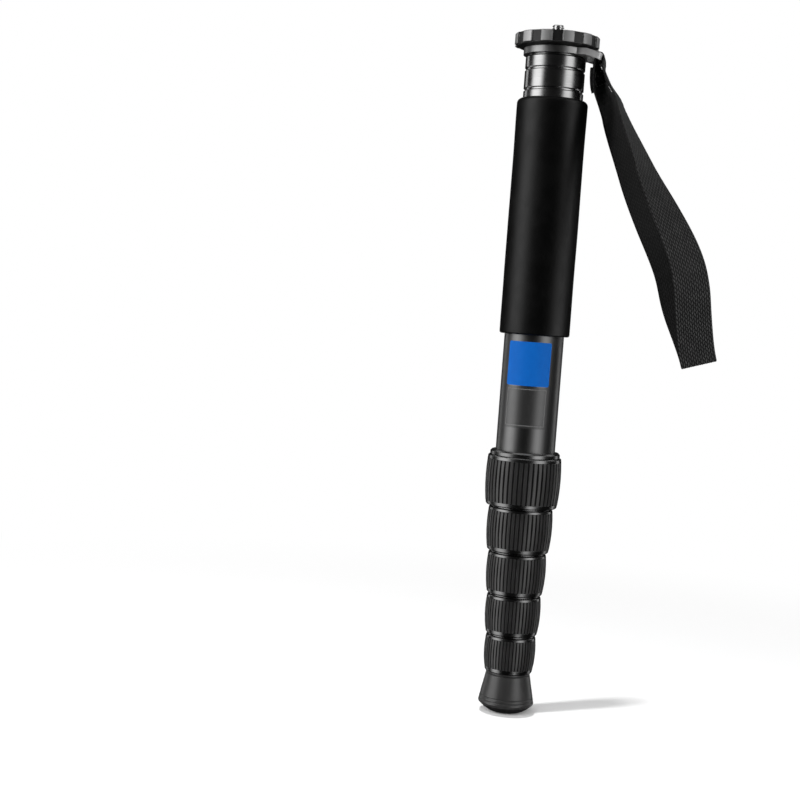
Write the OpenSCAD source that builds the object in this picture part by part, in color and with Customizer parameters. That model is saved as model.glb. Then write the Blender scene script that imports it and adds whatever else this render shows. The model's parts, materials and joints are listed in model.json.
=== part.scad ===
// Camera monopod with six nested tubes and five twist locks, folded.
// The leg stands along +Z, its sole is at the origin and the strap hangs on its +X side.

/* [Tubes] */
// Outer diameter of the top tube
top_tube_d = 32; // [28:0.5:38]
// Wall of every tube
tube_wall = 1; // [0.7:0.05:1.6]
// Thickness of the guide bush between the first two tubes
first_bush_t = 0.9; // [0.4:0.05:1.6]
// Thickness of the other guide bushes
bush_t = 0.4; // [0.3:0.05:1]
// Length of a guide bush
bush_len = 14; // [8:0.5:24]
// Length of the top tube that shows between the first lock and the grip
tube_show = 62.6; // [40:0.2:120]
// Clearance of a tube or a bush that slides
slide_gap = 0.06; // [0.04:0.01:0.1]
// Clearance of pieces that are glued or pressed together
glue_gap = 0.04; // [0.02:0.01:0.06]

/* [Twist locks] */
// Length of the ribs on the first lock
rib_1_len = 22.8; // [16:0.2:30]
// Length of the ribs on the second lock
rib_2_len = 19.8; // [14:0.2:26]
// Length of the ribs on the third lock
rib_3_len = 18.4; // [13:0.2:25]
// Length of the ribs on the fourth lock
rib_4_len = 17.2; // [12:0.2:24]
// Length of the ribs on the fifth lock
rib_5_len = 16; // [12:0.2:22]
// Wall of the first lock's collar under its rubber
collar_1_wall = 1.65; // [0.8:0.05:3]
// Wall of the second lock's collar under its rubber
collar_2_wall = 1.1; // [0.8:0.05:3]
// Wall of the third lock's collar under its rubber
collar_3_wall = 1; // [0.8:0.05:3]
// Wall of the fourth lock's collar under its rubber
collar_4_wall = 1.4; // [0.8:0.05:3]
// Wall of the fifth lock's collar under its rubber
collar_5_wall = 1.8; // [0.8:0.05:3]
// Wall of the threaded ferrule over its tube
ferrule_wall = 1; // [0.8:0.1:2]
// Radial clearance of the thread between ferrule and collar
thread_gap = 0.15; // [0.1:0.05:0.3]
// Height of the first ferrule's flange ring
first_flange_h = 2.6; // [1.6:0.1:4]
// Bevel round the top of the first flange ring
first_flange_bevel = 0.9; // [0.3:0.1:1.2]
// Height of the other ferrules' flange rings
flange_h = 0.5; // [0.4:0.1:2]
// How far the first flange ring stays inside the ribs
first_flange_inset = 1.5; // [0.4:0.1:2.4]
// How far the other flange rings stay inside the ribs
flange_inset = 1.3; // [0.4:0.1:2]
// Gap between a flange ring and the collar that turns under it
ring_gap = 0.3; // [0.2:0.1:0.8]
// Height of the first collar's shoulder above its ribs
first_shoulder_h = 2; // [1.2:0.1:5]
// Height of the other collars' shoulders above their ribs
shoulder_h = 1.5; // [1:0.1:4]
// Height of the first collar's lip below its ribs
first_lip_h = 2.2; // [1.6:0.1:5]
// Height of the other collars' lips below their ribs
lip_h = 2.3; // [1.6:0.1:5]
// How far the end of a lip stays inside the ribs
lip_inset = 1.7; // [1.6:0.1:2.4]
// Height of the bevel at the end of a lip
lip_bevel = 0.5; // [0.3:0.1:0.6]
// Thickness of the ribbed rubber
rubber_t = 1.5; // [1.2:0.1:3]
// How far the rubber's barrel draws in at its lower end
barrel_drop = 0.8; // [0.3:0.05:1]
// Number of grooves round each ribbed sleeve
groove_count = 48; // [24:1:60]
// Height of a split collet
collet_h = 7; // [6:0.5:9]
// Wall of a collet at its thin ends
collet_end_wall = 1; // [0.6:0.1:1.4]
// Height of a collet's cones
collet_cone_h = 2; // [1:0.25:3]
// Width of a collet's slit
collet_slit = 1.5; // [0.8:0.1:3]
// Floor of a collar under its collet
collar_floor = 2.2; // [1.5:0.1:3]
// Gap round the next tube where it leaves a collar
lip_gap = 0.3; // [0.2:0.05:0.6]
// Gap between two locks of the folded leg
stack_gap = 0.2; // [0.2:0.1:1]
// Clearance of seats inside a lock and a foot
fit_gap = 0.15; // [0.1:0.05:0.25]

/* [Grip and neck] */
// Length of the foam grip
grip_len = 125.5; // [80:0.5:180]
// Thickness of the foam
foam_t = 2.9; // [2:0.1:8]
// Radius of the foam's upper edge
foam_top_r = 2.6; // [0.5:0.1:2.8]
// Radius of the foam's lower edge
foam_end_r = 1.2; // [0.3:0.1:2.8]
// Length of the neck that shows above the grip
neck_show = 14.8; // [8:0.1:30]
// How deep the neck's shoulder stands inside the grip
neck_cover = 3.7; // [2:0.1:10]
// Length of the spigot that holds the top tube
spigot_len = 10; // [6:0.5:20]
// Height of the cap above the neck's upper groove
cap_h = 6.6; // [5:0.1:14]
// Height of the band between the grip and the neck's lower groove
neck_band_h = 4; // [2:0.1:6]
// Height of a groove round the neck
neck_groove_h = 0.8; // [0.3:0.1:1.5]
// Depth of a groove round the neck
neck_groove_depth = 0.8; // [0.3:0.1:2]
// Diameter of the cap's spigot inside the neck
cap_spigot_d = 24; // [20:0.5:26]
// Length of the cap's spigot inside the neck
cap_spigot_len = 10; // [6:0.5:16]

/* [Strap ring] */
// Thickness of the strap ring
ring_t = 3.4; // [2.8:0.1:5]
// How far the strap ring stands out from the neck
ring_overhang = 1.4; // [0:0.1:4]
// Diameter of the boss that the ring turns on
boss_d = 22; // [18:0.5:24]
// Height of the step that lifts the ring off the cap
ring_step_h = 0.6; // [0.4:0.1:2]
// How far that step stays inside the cap
ring_step_inset = 1.2; // [0.4:0.1:3]
// Clearance round the ring
ring_clear = 0.15; // [0.1:0.05:0.3]
// Space between the ring's edge and the ear's bar
ear_slot = 5.4; // [5:0.1:8]
// Diameter of the ear's bar
bar_d = 2.6; // [2:0.1:3]
// Width of an arm of the ear
ear_arm = 2.6; // [2:0.1:5]
// How far an arm reaches past the middle of the bar
ear_nose = 1.5; // [1.3:0.1:3]
// Direction of the ear at rest, in degrees from +X
ear_turn = -5; // [-25:1:25]
// How far the ear is bent down
ear_dip = 16; // [0:1:20]

/* [Wrist strap] */
// Width of the webbing
strap_w = 19; // [12:0.5:25]
// Thickness of the webbing
strap_t = 1.3; // [0.8:0.1:1.5]
// Clearance of the webbing round the bar
strap_gap = 0.25; // [0.2:0.05:0.4]
// Clearance of the webbing's edges in the ear
strap_side_gap = 0.9; // [0.5:0.1:2]
// Half of the loop's opening for the wrist
wrist_half = 26; // [16:1:34]
// Radius of the fold at the loop's lower end
fold_r = 1.6; // [1.2:0.1:4]

/* [Camera platform] */
// Diameter of the platform over its lobes
platform_d = 45.2; // [42:0.2:60]
// Height of the platform's rim
platform_h = 5.8; // [4:0.1:10]
// Number of lobes round the rim
lobe_count = 12; // [8:1:16]
// Depth of a hollow between two lobes
hollow_depth = 1; // [0.5:0.1:1.6]
// Width of a hollow between two lobes
hollow_w = 6.2; // [4:0.1:8]
// How far the hub stands below the rim
hub_drop = 1.3; // [0.8:0.1:3]
// Width of the bevelled ledge between the hub and the rim's underside
hub_ledge = 3.6; // [2:0.1:6]
// Width of the rim's top round the pad
rim_w = 3.4; // [2.4:0.1:6]
// Thickness of the rubber pad
pad_t = 1.4; // [1:0.1:3]
// How far the pad stands out of the platform
pad_proud = 0.3; // [0.1:0.1:1]
// Diameter of the camera stud, the quarter-inch camera thread
stud_d = 6.35; // [6.35:0.01:9.53]
// Height of the camera stud above the pad
stud_h = 5.7; // [4:0.1:9]
// Diameter of the stud's flange
stud_flange_d = 14; // [11:0.5:18]
// Thickness of the stud's flange
stud_flange_t = 1.6; // [1:0.1:3]
// Diameter of the stud's shank in the neck
stud_shank_d = 9.5; // [8:0.1:10]
// Depth of the stud's shank in the cap
stud_shank_len = 9; // [6:0.5:10]

/* [Foot] */
// Height of the foot up to the last lock
foot_h = 22.3; // [19:0.1:30]
// Height of the thin ring on top of the foot
foot_cap_h = 0.6; // [0.4:0.1:1.5]
// Height of the groove under that ring
foot_groove_h = 0.4; // [0.3:0.1:1]
// Depth of that groove
foot_groove_depth = 0.8; // [0.4:0.1:1.5]
// Diameter of the foot at its top
foot_top_d = 24; // [21:0.1:30]
// Diameter of the foot at its widest
foot_d = 30.2; // [28:0.1:40]
// Height of the foot's widest edge
foot_edge_z = 5.8; // [5:0.1:8]
// Height of the rubber sole
sole_h = 4.4; // [3:0.1:5]
// How far the sole stays inside the foot's edge
sole_inset = 1.2; // [0.5:0.1:3]
// Radius of the flat in the middle of the sole
sole_flat_r = 4; // [2:0.5:8]
// Depth of the fine rings above the foot's edge
foot_ring_depth = 0.3; // [0.1:0.05:0.6]
// Height of the foot's floor under the last tube
foot_floor_z = 8.4; // [8:0.1:10]
// Length of the plug in the last tube
plug_len = 12; // [8:0.5:24]
// Diameter of the foot screw
screw_d = 5; // [4:0.1:6]
// Diameter of the screw's head
screw_head_d = 9; // [7:0.1:11]
// Height of the screw's head
screw_head_h = 2.4; // [1.5:0.1:2.8]
// Length of the screw in the plug
screw_len = 9; // [5:0.5:11]

/* [Hidden] */
$fn = 96;
eps = 0.01;
TUBES = 6;
LOCKS = TUBES - 1;
// Depth of a groove in the ribs and half the diagonal of its square cutter, as shares of the ribs' pitch
groove_depth_share = 0.26;
groove_half_share = 0.4;
// Depth that a groove keeps at the barrel's lower end, as a share of its depth at the crest
groove_end_share = 0.6;
// How far a hollow's wall in the platform's rim leans out, as a share of the hollow's depth
hollow_lean = 0.5;
// Where the ribs' crest lies, as a share of their length from the lower end
crest_share = 0.58;
// Short cones that make up the barrel of the ribs
barrel_steps = 5;
bevel = 0.4;
tip_bevel = 0.6;
// Bevels at the neck's grooves and round the top of its cap
neck_bevel = 0.5;
cap_bevel = 0.7;

rib_len = [rib_1_len, rib_2_len, rib_3_len, rib_4_len, rib_5_len];
collar_wall = [collar_1_wall, collar_2_wall, collar_3_wall, collar_4_wall, collar_5_wall];

// Radii of tube i, counted from 0 at the top
function tube_r(i) = i == 0 ? top_tube_d / 2 : bore_r(i - 1) - slide_gap - bush_wall(i) - glue_gap;
function bore_r(i) = tube_r(i) - tube_wall;
function bush_wall(i) = i == 1 ? first_bush_t : bush_t;

// Heights and radii of lock i, on the lower end of tube i
function flange_height(i) = i == 0 ? first_flange_h : flange_h;
function flange_in(i) = i == 0 ? first_flange_inset : flange_inset;
function shoulder_height(i) = i == 0 ? first_shoulder_h : shoulder_h;
function lip_height(i) = i == 0 ? first_lip_h : lip_h;
function thread_r(i) = tube_r(i) + ferrule_wall + thread_gap;
function seat_r(i) = thread_r(i) + collar_wall[i];
function lock_r(i) = seat_r(i) + rubber_t;
function lock_len(i) = flange_height(i) + ring_gap + shoulder_height(i) + rib_len[i] + lip_height(i);
function lock_bottom(i) = (i == LOCKS - 1 ? foot_h : lock_top(i + 1)) + stack_gap;
function lock_top(i) = lock_bottom(i) + lock_len(i);
function rib_bottom(i) = lock_bottom(i) + lip_height(i);
function rib_top(i) = rib_bottom(i) + rib_len[i];
function collar_top(i) = rib_top(i) + shoulder_height(i);
function collet_bottom(i) = lock_bottom(i) + collar_floor + fit_gap;
function collet_top(i) = collet_bottom(i) + collet_h;
function ferrule_end(i) = collet_top(i) + fit_gap;

// Heights above the locks
grip_z = lock_top(0) + tube_show;
grip_top = grip_z + grip_len;
neck_z = grip_top - neck_cover;
neck_top = grip_top + neck_show;
cap_z = neck_top + neck_groove_h;
cap_top = cap_z + cap_h;
ring_z = cap_top + ring_step_h + ring_clear;
ring_top = ring_z + ring_t;
hub_z = ring_top + ring_clear;
rim_z = hub_z + hub_drop;
platform_top = rim_z + platform_h;
pad_top = platform_top + pad_proud;
stud_top = pad_top + stud_h;
neck_r = top_tube_d / 2;
echo(levels_mm = [platform_top, pad_top, stud_top, (grip_z + grip_top) / 2]);

// Inner tubes end a little below the neck's spigot when folded
nest_gap = 2;
nest_top = neck_z - spigot_len - nest_gap;
function tube_top(i) = i == 0 ? neck_z : nest_top;
function tube_end(i) = i < LOCKS ? ferrule_end(i) : foot_floor_z + fit_gap;

// How far tube i + 1 runs out of lock i before its bush meets the collet
stop_gap = 0.3;
function travel(i) = nest_top - bush_len - ferrule_end(i) - stop_gap;
echo(travel_mm = [for (i = [0:LOCKS - 1]) travel(i)]);

// The ear's bar, which the strap goes round
ring_r = neck_r + ring_overhang;
bar_r = bar_d / 2;
bar_x = ring_r + ear_slot + bar_r;
// The ear is bent down about a line on the ring's upper face; its bar lies half way through its thickness
bend_x = neck_r + 0.5;
bar_out = bend_x + (bar_x - bend_x) * cos(ear_dip) - ring_t / 2 * sin(ear_dip);
bar_drop = (bar_x - bend_x) * sin(ear_dip) + ring_t / 2 * cos(ear_dip);
bar_at = [bar_out * cos(ear_turn), bar_out * sin(ear_turn), ring_top - bar_drop];
ear_w = strap_w + 2 * strap_side_gap + 2 * ear_arm;
echo(bar_mm = bar_at, ear_deg = ear_turn);

// Middle line of the strap's loop, from the bar to the fold, as [outwards, upwards] from the bar
strap_route = [
    [0, 0], [9.4, -28.3], [23.9, -58.5], [38.1, -82.6], [50.3, -106.8], [56.9, -130.9], [64.6, -155.6]
];
// How far the front run lies outwards of that middle line, below the bar
run_offset = 2.4;
// How far both runs stand further out below the seam, and the share of the loop where they come back
run_spread = 2;
spread_to = 0.25;
// Share of the loop over which the sewn end doubles the back run, and how far it bulges inwards there
sewn_from = 0.02;
sewn_to = 0.085;
sewn_bulge = 2;
// How far the seam draws the front run in, and the shares of the loop where it is drawn in and let go
seam_draw = 1.8;
seam_from = 0.035;
seam_to = 0.07;
run_steps = 26;
turn_steps = 8;

// Turns an outline of [radius, height] points about the leg's axis
module revolve(points) {
    rotate_extrude() polygon(points);
}

// A plain ring about the leg's axis
module ring(r_in, r_out, z0, z1) {
    revolve([[r_in, z0], [r_out, z0], [r_out, z1], [r_in, z1]]);
}

module camera_stud() {
    color("silver")
    revolve([
        [0, cap_top - stud_shank_len],
        [stud_shank_d / 2, cap_top - stud_shank_len],
        [stud_shank_d / 2, pad_top - stud_flange_t],
        [stud_flange_d / 2, pad_top - stud_flange_t],
        [stud_flange_d / 2, pad_top],
        [stud_d / 2, pad_top],
        [stud_d / 2, stud_top - tip_bevel],
        [stud_d / 2 - tip_bevel, stud_top],
        [0, stud_top]
    ]);
}

module platform_pad() {
    color("#2a2a2c")
    ring(
        stud_flange_d / 2 + 2 * glue_gap,
        platform_d / 2 - rim_w - glue_gap,
        pad_top - pad_t,
        pad_top
    );
}

module platform() {
    rim_r = platform_d / 2;
    hub_r = ring_r;
    pocket_z = pad_top - pad_t;
    flange_z = pad_top - stud_flange_t;
    // Half the width of a hollow's flat bottom, between walls that lean out
    flat_half = hollow_w / 2 - hollow_lean * hollow_depth;
    color("#3a3a3d")
    difference() {
        revolve([
            [stud_shank_d / 2 + glue_gap, hub_z],
            [hub_r, hub_z],
            [hub_r + hub_ledge, rim_z - bevel],
            [rim_r - hollow_depth - bevel, rim_z],
            [rim_r, rim_z],
            [rim_r, platform_top - bevel],
            [rim_r - bevel, platform_top],
            [rim_r - rim_w, platform_top],
            [rim_r - rim_w, pocket_z],
            [stud_flange_d / 2 + glue_gap, pocket_z],
            [stud_flange_d / 2 + glue_gap, flange_z],
            [stud_shank_d / 2 + glue_gap, flange_z]
        ]);
        for (k = [0:lobe_count - 1])
            rotate([0, 0, k * 360 / lobe_count])
                translate([rim_r - hollow_depth, 0, rim_z])
                    linear_extrude(3 * platform_h, center = true)
                        polygon([
                            [0, -flat_half],
                            [2 * hollow_depth, -flat_half - 2 * hollow_lean * hollow_depth],
                            [2 * hollow_depth, flat_half + 2 * hollow_lean * hollow_depth],
                            [0, flat_half]
                        ]);
    }
}

// Flat outline of the strap ring with its ear, round the boss
module ring_outline() {
    nose_x = bar_x + ear_nose;
    corner = ear_arm - bevel;
    difference() {
        union() {
            circle(r = ring_r);
            translate([0, -ear_w / 2])
                square([nose_x - corner, ear_w]);
            translate([0, corner - ear_w / 2])
                square([nose_x, ear_w - 2 * corner]);
            for (side = [-1, 1])
                translate([nose_x - corner, side * (ear_w / 2 - corner)])
                    circle(r = corner);
        }
        circle(d = boss_d + 2 * ring_clear);
        translate([ring_r, ear_arm - ear_w / 2])
            square([2 * ring_r, ear_w - 2 * ear_arm]);
    }
}

module strap_ring() {
    color("#85878a")
    rotate([0, 0, ear_turn])
        union() {
            translate([0, 0, ring_z])
                linear_extrude(ring_t)
                    intersection() {
                        ring_outline();
                        translate([bend_x - 4 * ring_r, -2 * ring_r])
                            square(4 * ring_r);
                    }
            translate([bend_x, 0, ring_top])
                rotate([0, ear_dip, 0])
                    translate([-bend_x, 0, -ring_t]) {
                        linear_extrude(ring_t)
                            intersection() {
                                ring_outline();
                                translate([bend_x, -2 * ring_r])
                                    square(4 * ring_r);
                            }
                        translate([bar_x, 0, ring_t / 2])
                            rotate([90, 0, 0])
                                cylinder(r = bar_r, h = ear_w - ear_arm, center = true);
                    }
        }
}

// Point of a smooth curve through the points p at t from 0 to 1
function curve(p, t) =
    let (
        n = len(p) - 1,
        k = min(floor(t * n), n - 1),
        f = t * n - k,
        a = k > 0 ? p[k - 1] : 2 * p[0] - p[1],
        b = p[k],
        c = p[k + 1],
        d = k + 2 <= n ? p[k + 2] : 2 * p[n] - p[n - 1]
    )
    b + f / 2 * (c - a + f * (2 * a - 5 * b + 4 * c - d + f * (3 * (b - c) + d - a)));

function unit(v) = v / norm(v);
function smooth(t) = t * t * (3 - 2 * t);

// A vector turned about the leg's axis, and the loop's turn at t, which starts as the ear's and runs out
function turned(v, a) = [v[0] * cos(a) - v[1] * sin(a), v[0] * sin(a) + v[1] * cos(a), v[2]];
function route_turn(t) = ear_turn * (1 - smooth(min(3 * t, 1)));
// Direction of the loop's middle line at t, and the outward direction square to it
function route_along(t) =
    let (h = 0.005, v = unit(curve(strap_route, min(t + h, 1)) - curve(strap_route, max(t - h, 0))))
    [v[0], 0, v[1]];
function route_out(t) = let (v = route_along(t)) turned([-v[2], 0, v[0]], route_turn(t));
function route_point(t) = let (p = curve(strap_route, t)) bar_at + [p[0], 0, p[1]];

// Distances of a run from the middle line: outwards, and towards the front
wrap_r = bar_r + strap_gap + strap_t / 2;
function run_out(t) =
    (wrap_r + (run_offset - wrap_r) * smooth(min(4 * t, 1))) * (1 - smooth(max(4 * t - 3, 0)));
function spread_out(t) = run_spread * smooth(min(8 * t, 1)) * let_go(t / spread_to);
// This bell has its highest value, 1, at t = 4/7
function bell(t) = pow(t, 2) * pow(1 - t, 1.5) / (pow(4 / 7, 2) * pow(3 / 7, 1.5));
// Falls from 1 to 0 between x = 1 and x = 2
function let_go(x) = 1 - smooth(min(max(x - 1, 0), 1));
// The stiff sewn end holds the back run off the middle line and lets it come back below
function sewn_out(t) = sewn_bulge * smooth(min(t / sewn_to, 1)) * let_go(t / sewn_to);
// The seam draws the front run to the back one
function seam_in(t) = seam_draw * smooth(min(t / seam_from, 1)) * let_go(t / seam_to);
function run_shift(t, side) =
    spread_out(t) + (side > 0 ? run_out(t) - seam_in(t) : -run_out(t) - sewn_out(t));
function run_front(t) = fold_r * smooth(t) + (wrist_half - fold_r) * bell(t);

// Turn of the webbing about its run at t, later on the front run than on the back one
function twist(t, side) = 90 * pow(sin(90 * t), side > 0 ? 1.5 : 0.65);

// One station of the webbing: its middle, its width's direction and the doubling on its inner face.
// The webbing lies across the ear at the bar and turns to face the front at the fold.
function run_station(t, side) =
    [
        route_point(t) + side * run_front(t) * [0, -1, 0] + run_shift(t, side) * route_out(t),
        cos(twist(t, side)) * turned([0, 1, 0], route_turn(t)) + sin(twist(t, side)) * route_out(t),
        side < 0 && t > sewn_from && t < sewn_to ? strap_t : 0
    ];
function wrap_station(angle) =
    [
        route_point(0) + wrap_r * (cos(angle) * route_out(0) - sin(angle) * turned(route_along(0), ear_turn)),
        turned([0, 1, 0], ear_turn),
        0
    ];
function fold_station(angle) =
    [
        route_point(1) + fold_r * (cos(angle) * [0, -1, 0] + sin(angle) * route_along(1)),
        route_out(1),
        0
    ];

// All stations of the closed loop: over the bar, down the front run, round the fold and up the back run
stations = concat(
    [for (k = [0:turn_steps]) wrap_station(180 - k * 180 / turn_steps)],
    [for (k = [1:run_steps - 1]) run_station(k / run_steps, 1)],
    [for (k = [0:turn_steps]) fold_station(k * 180 / turn_steps)],
    [for (k = [1:run_steps - 1]) run_station(1 - k / run_steps, -1)]
);

// The four corners of the webbing at station k
function strap_corners(k) =
    let (
        n = len(stations),
        middle = stations[k][0],
        along = unit(stations[(k + 1) % n][0] - stations[(k + n - 1) % n][0]),
        raw = stations[k][1],
        across = unit(raw - (raw * along) * along),
        outer = cross(along, across),
        half = strap_w / 2 * across,
        top = strap_t / 2 * outer,
        low = -(strap_t / 2) * outer,
        sewn = stations[k][2] * outer
    )
    [middle - half + low, middle + half + low, middle + half + top + sewn, middle - half + top + sewn];

module wrist_strap() {
    n = len(stations);
    points = [for (k = [0:n - 1]) each strap_corners(k)];
    faces = [
        for (k = [0:n - 1], c = [0:3])
            let (
                a = 4 * k + c,
                b = 4 * k + (c + 1) % 4,
                next_a = 4 * ((k + 1) % n) + c,
                next_b = 4 * ((k + 1) % n) + (c + 1) % 4
            )
            each [[a, b, next_b], [a, next_b, next_a]]
    ];
    color("#202022")
    polyhedron(points, faces);
}

module neck_cap() {
    bore = stud_shank_d / 2 + glue_gap;
    pocket_z = cap_top - stud_shank_len - fit_gap;
    color("#161618")
    revolve([
        [0, neck_top - cap_spigot_len],
        [cap_spigot_d / 2, neck_top - cap_spigot_len],
        [cap_spigot_d / 2, neck_top],
        [neck_r - neck_groove_depth, neck_top],
        [neck_r - neck_groove_depth, cap_z],
        [neck_r - neck_bevel, cap_z],
        [neck_r, cap_z + neck_bevel],
        [neck_r, cap_top - cap_bevel],
        [neck_r - cap_bevel, cap_top],
        [neck_r - ring_step_inset, cap_top],
        [neck_r - ring_step_inset, cap_top + ring_step_h],
        [boss_d / 2, cap_top + ring_step_h],
        [boss_d / 2, hub_z],
        [bore, hub_z],
        [bore, pocket_z],
        [0, pocket_z]
    ]);
}

module neck_body() {
    pocket_r = cap_spigot_d / 2 + glue_gap;
    pocket_z = neck_top - cap_spigot_len - fit_gap;
    spigot_r = bore_r(0) - glue_gap;
    groove_r = neck_r - neck_groove_depth;
    groove_z = grip_top + neck_band_h;
    color("#1a1a1c")
    revolve([
        [0, neck_z - spigot_len],
        [spigot_r - bevel, neck_z - spigot_len],
        [spigot_r, neck_z - spigot_len + bevel],
        [spigot_r, neck_z],
        [neck_r, neck_z],
        [neck_r, groove_z - neck_bevel],
        [neck_r - neck_bevel, groove_z],
        [groove_r, groove_z],
        [groove_r, groove_z + neck_groove_h],
        [neck_r - neck_bevel, groove_z + neck_groove_h],
        [neck_r, groove_z + neck_groove_h + neck_bevel],
        [neck_r, neck_top - neck_bevel],
        [neck_r - neck_bevel, neck_top],
        [pocket_r, neck_top],
        [pocket_r, pocket_z],
        [0, pocket_z]
    ]);
}

module foam_grip() {
    r_in = neck_r + glue_gap;
    r_out = neck_r + foam_t;
    color("#232325")
    rotate_extrude() {
        translate([r_in, grip_z + foam_end_r])
            square([foam_t - glue_gap, grip_len - foam_end_r - foam_top_r]);
        translate([r_in, grip_z])
            square([foam_t - glue_gap - foam_end_r, foam_end_r + eps]);
        translate([r_in, grip_top - foam_top_r - eps])
            square([foam_t - glue_gap - foam_top_r, foam_top_r + eps]);
        translate([r_out - foam_end_r, grip_z + foam_end_r])
            circle(r = foam_end_r);
        intersection() {
            translate([r_out - foam_top_r, grip_top - foam_top_r])
                circle(r = foam_top_r);
            translate([r_in, grip_z])
                square([foam_t, grip_len]);
        }
    }
}

module tube(i) {
    color("#4a4b4e")
    ring(bore_r(i), tube_r(i), tube_end(i), tube_top(i));
}

module bush(i) {
    color("#d8d8d2")
    ring(tube_r(i) + glue_gap, bore_r(i - 1) - slide_gap, nest_top - bush_len, nest_top);
}

module ferrule(i) {
    r_flange = lock_r(i) - flange_in(i);
    z_flange = lock_top(i) - flange_height(i);
    edge = i == 0 ? first_flange_bevel : flange_h / 4;
    color("#1d1d1f")
    revolve([
        [tube_r(i) + glue_gap, ferrule_end(i)],
        [tube_r(i) + ferrule_wall, ferrule_end(i)],
        [tube_r(i) + ferrule_wall, z_flange],
        [r_flange, z_flange],
        [r_flange, lock_top(i) - edge],
        [r_flange - edge, lock_top(i)],
        [tube_r(i) + glue_gap, lock_top(i)]
    ]);
}

module collar(i) {
    next_r = tube_r(i + 1);
    z_floor = lock_bottom(i) + collar_floor;
    r_lip = lock_r(i) - barrel_drop - glue_gap;
    shoulder_r = lock_r(i) - bevel;
    color("#1d1d1f")
    revolve([
        [next_r + lip_gap, lock_bottom(i)],
        [lock_r(i) - lip_inset, lock_bottom(i)],
        [lock_r(i) - lip_inset + lip_bevel, lock_bottom(i) + lip_bevel],
        [r_lip, rib_bottom(i)],
        [seat_r(i), rib_bottom(i)],
        [seat_r(i), rib_top(i)],
        [shoulder_r, rib_top(i)],
        [shoulder_r - bevel / 2, collar_top(i) - bevel],
        [shoulder_r - 1.5 * bevel, collar_top(i)],
        [thread_r(i), collar_top(i)],
        [thread_r(i), z_floor + collet_cone_h],
        [next_r + slide_gap + collet_end_wall + fit_gap, z_floor],
        [next_r + lip_gap, z_floor]
    ]);
}

module rib_sleeve(i) {
    pitch = 2 * PI * lock_r(i) / groove_count;
    groove_depth = groove_depth_share * pitch;
    z0 = rib_bottom(i) + glue_gap;
    z1 = rib_top(i) - glue_gap;
    crest = z0 + crest_share * (z1 - z0);
    // Radius of the barrel's arc, which draws in by barrel_drop at the lower end
    arc_r = (pow(crest - z0, 2) + pow(barrel_drop, 2)) / (2 * barrel_drop);
    barrel = [
        for (k = [0:barrel_steps])
            let (z = z0 + (z1 - z0) * k / barrel_steps)
            [lock_r(i) - arc_r + sqrt(pow(arc_r, 2) - pow(z - crest, 2)), z]
    ];
    // Below this height a groove leans in with the barrel, to keep some depth at the lower end
    lean_z = (z0 + crest) / 2;
    lean = atan((barrel_drop - (1 - groove_end_share) * groove_depth) / (lean_z - z0));
    cutter_r = groove_half_share * pitch;
    color("#2c2c2e")
    difference() {
        revolve(concat(barrel, [[seat_r(i) + glue_gap, z1], [seat_r(i) + glue_gap, z0]]));
        // V-shaped grooves along the leg, each upright above and leaning below
        for (k = [0:groove_count - 1])
            rotate([0, 0, k * 360 / groove_count])
                translate([lock_r(i) + cutter_r - groove_depth, 0, lean_z]) {
                    cylinder(r = cutter_r, h = rib_len[i], $fn = 4);
                    rotate([0, lean, 0])
                        translate([0, 0, -rib_len[i]])
                            cylinder(r = cutter_r, h = rib_len[i] + bevel, $fn = 4);
                }
    }
}

module collet(i) {
    r_in = tube_r(i + 1) + slide_gap;
    r_out = thread_r(i) - fit_gap;
    z0 = collet_bottom(i);
    z1 = collet_top(i);
    color("#e0ddd2")
    difference() {
        revolve([
            [r_in, z0],
            [r_in + collet_end_wall, z0],
            [r_out, z0 + collet_cone_h],
            [r_out, z1 - collet_cone_h],
            [r_in + collet_end_wall, z1],
            [r_in, z1]
        ]);
        translate([0, -collet_slit / 2, z0 - eps])
            cube([2 * r_out, collet_slit, collet_h + 2 * eps]);
    }
}

module foot_plug() {
    z0 = tube_end(LOCKS);
    color("#9a9ca0")
    ring(screw_d / 2 + fit_gap, bore_r(LOCKS) - glue_gap, z0, z0 + plug_len);
}

module foot_screw() {
    z0 = sole_h + fit_gap;
    color("silver")
    revolve([
        [0, z0],
        [screw_head_d / 2, z0],
        [screw_head_d / 2, z0 + screw_head_h],
        [screw_d / 2, z0 + screw_head_h],
        [screw_d / 2, tube_end(LOCKS) + screw_len],
        [0, tube_end(LOCKS) + screw_len]
    ]);
}

module foot_cone() {
    top_r = foot_top_d / 2;
    edge_r = foot_d / 2;
    sole_r = edge_r - sole_inset;
    head_z = sole_h + fit_gap + screw_head_h + glue_gap;
    cap_z0 = foot_h - foot_cap_h;
    cone_top = cap_z0 - foot_groove_h;
    slope = (edge_r - top_r) / (cone_top - foot_edge_z);
    // Two fine rings turned into the cone just above its edge
    ring_pitch = 3 * foot_ring_depth;
    rings = [
        for (k = [2, 1], p = [[1, 0], [0.5, foot_ring_depth], [0, 0]])
            let (z = foot_edge_z + (2 * k - 1 + p[0]) * ring_pitch)
            [edge_r - slope * (z - foot_edge_z) - p[1], z]
    ];
    color("#4b4c4f")
    revolve(concat(
        [
            [tube_r(LOCKS) + glue_gap, foot_h],
            [top_r, foot_h],
            [top_r, cap_z0],
            [top_r - foot_groove_depth, cap_z0],
            [top_r - foot_groove_depth, cone_top],
            [top_r - bevel, cone_top],
            [top_r, cone_top - bevel]
        ],
        rings,
        [
            [edge_r, foot_edge_z],
            [edge_r - bevel, foot_edge_z - 2 * bevel],
            [sole_r, sole_h],
            [screw_head_d / 2 + fit_gap, sole_h],
            [screw_head_d / 2 + fit_gap, head_z],
            [screw_d / 2 + fit_gap, head_z],
            [screw_d / 2 + fit_gap, foot_floor_z],
            [tube_r(LOCKS) + glue_gap, foot_floor_z]
        ]
    ));
}

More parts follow.
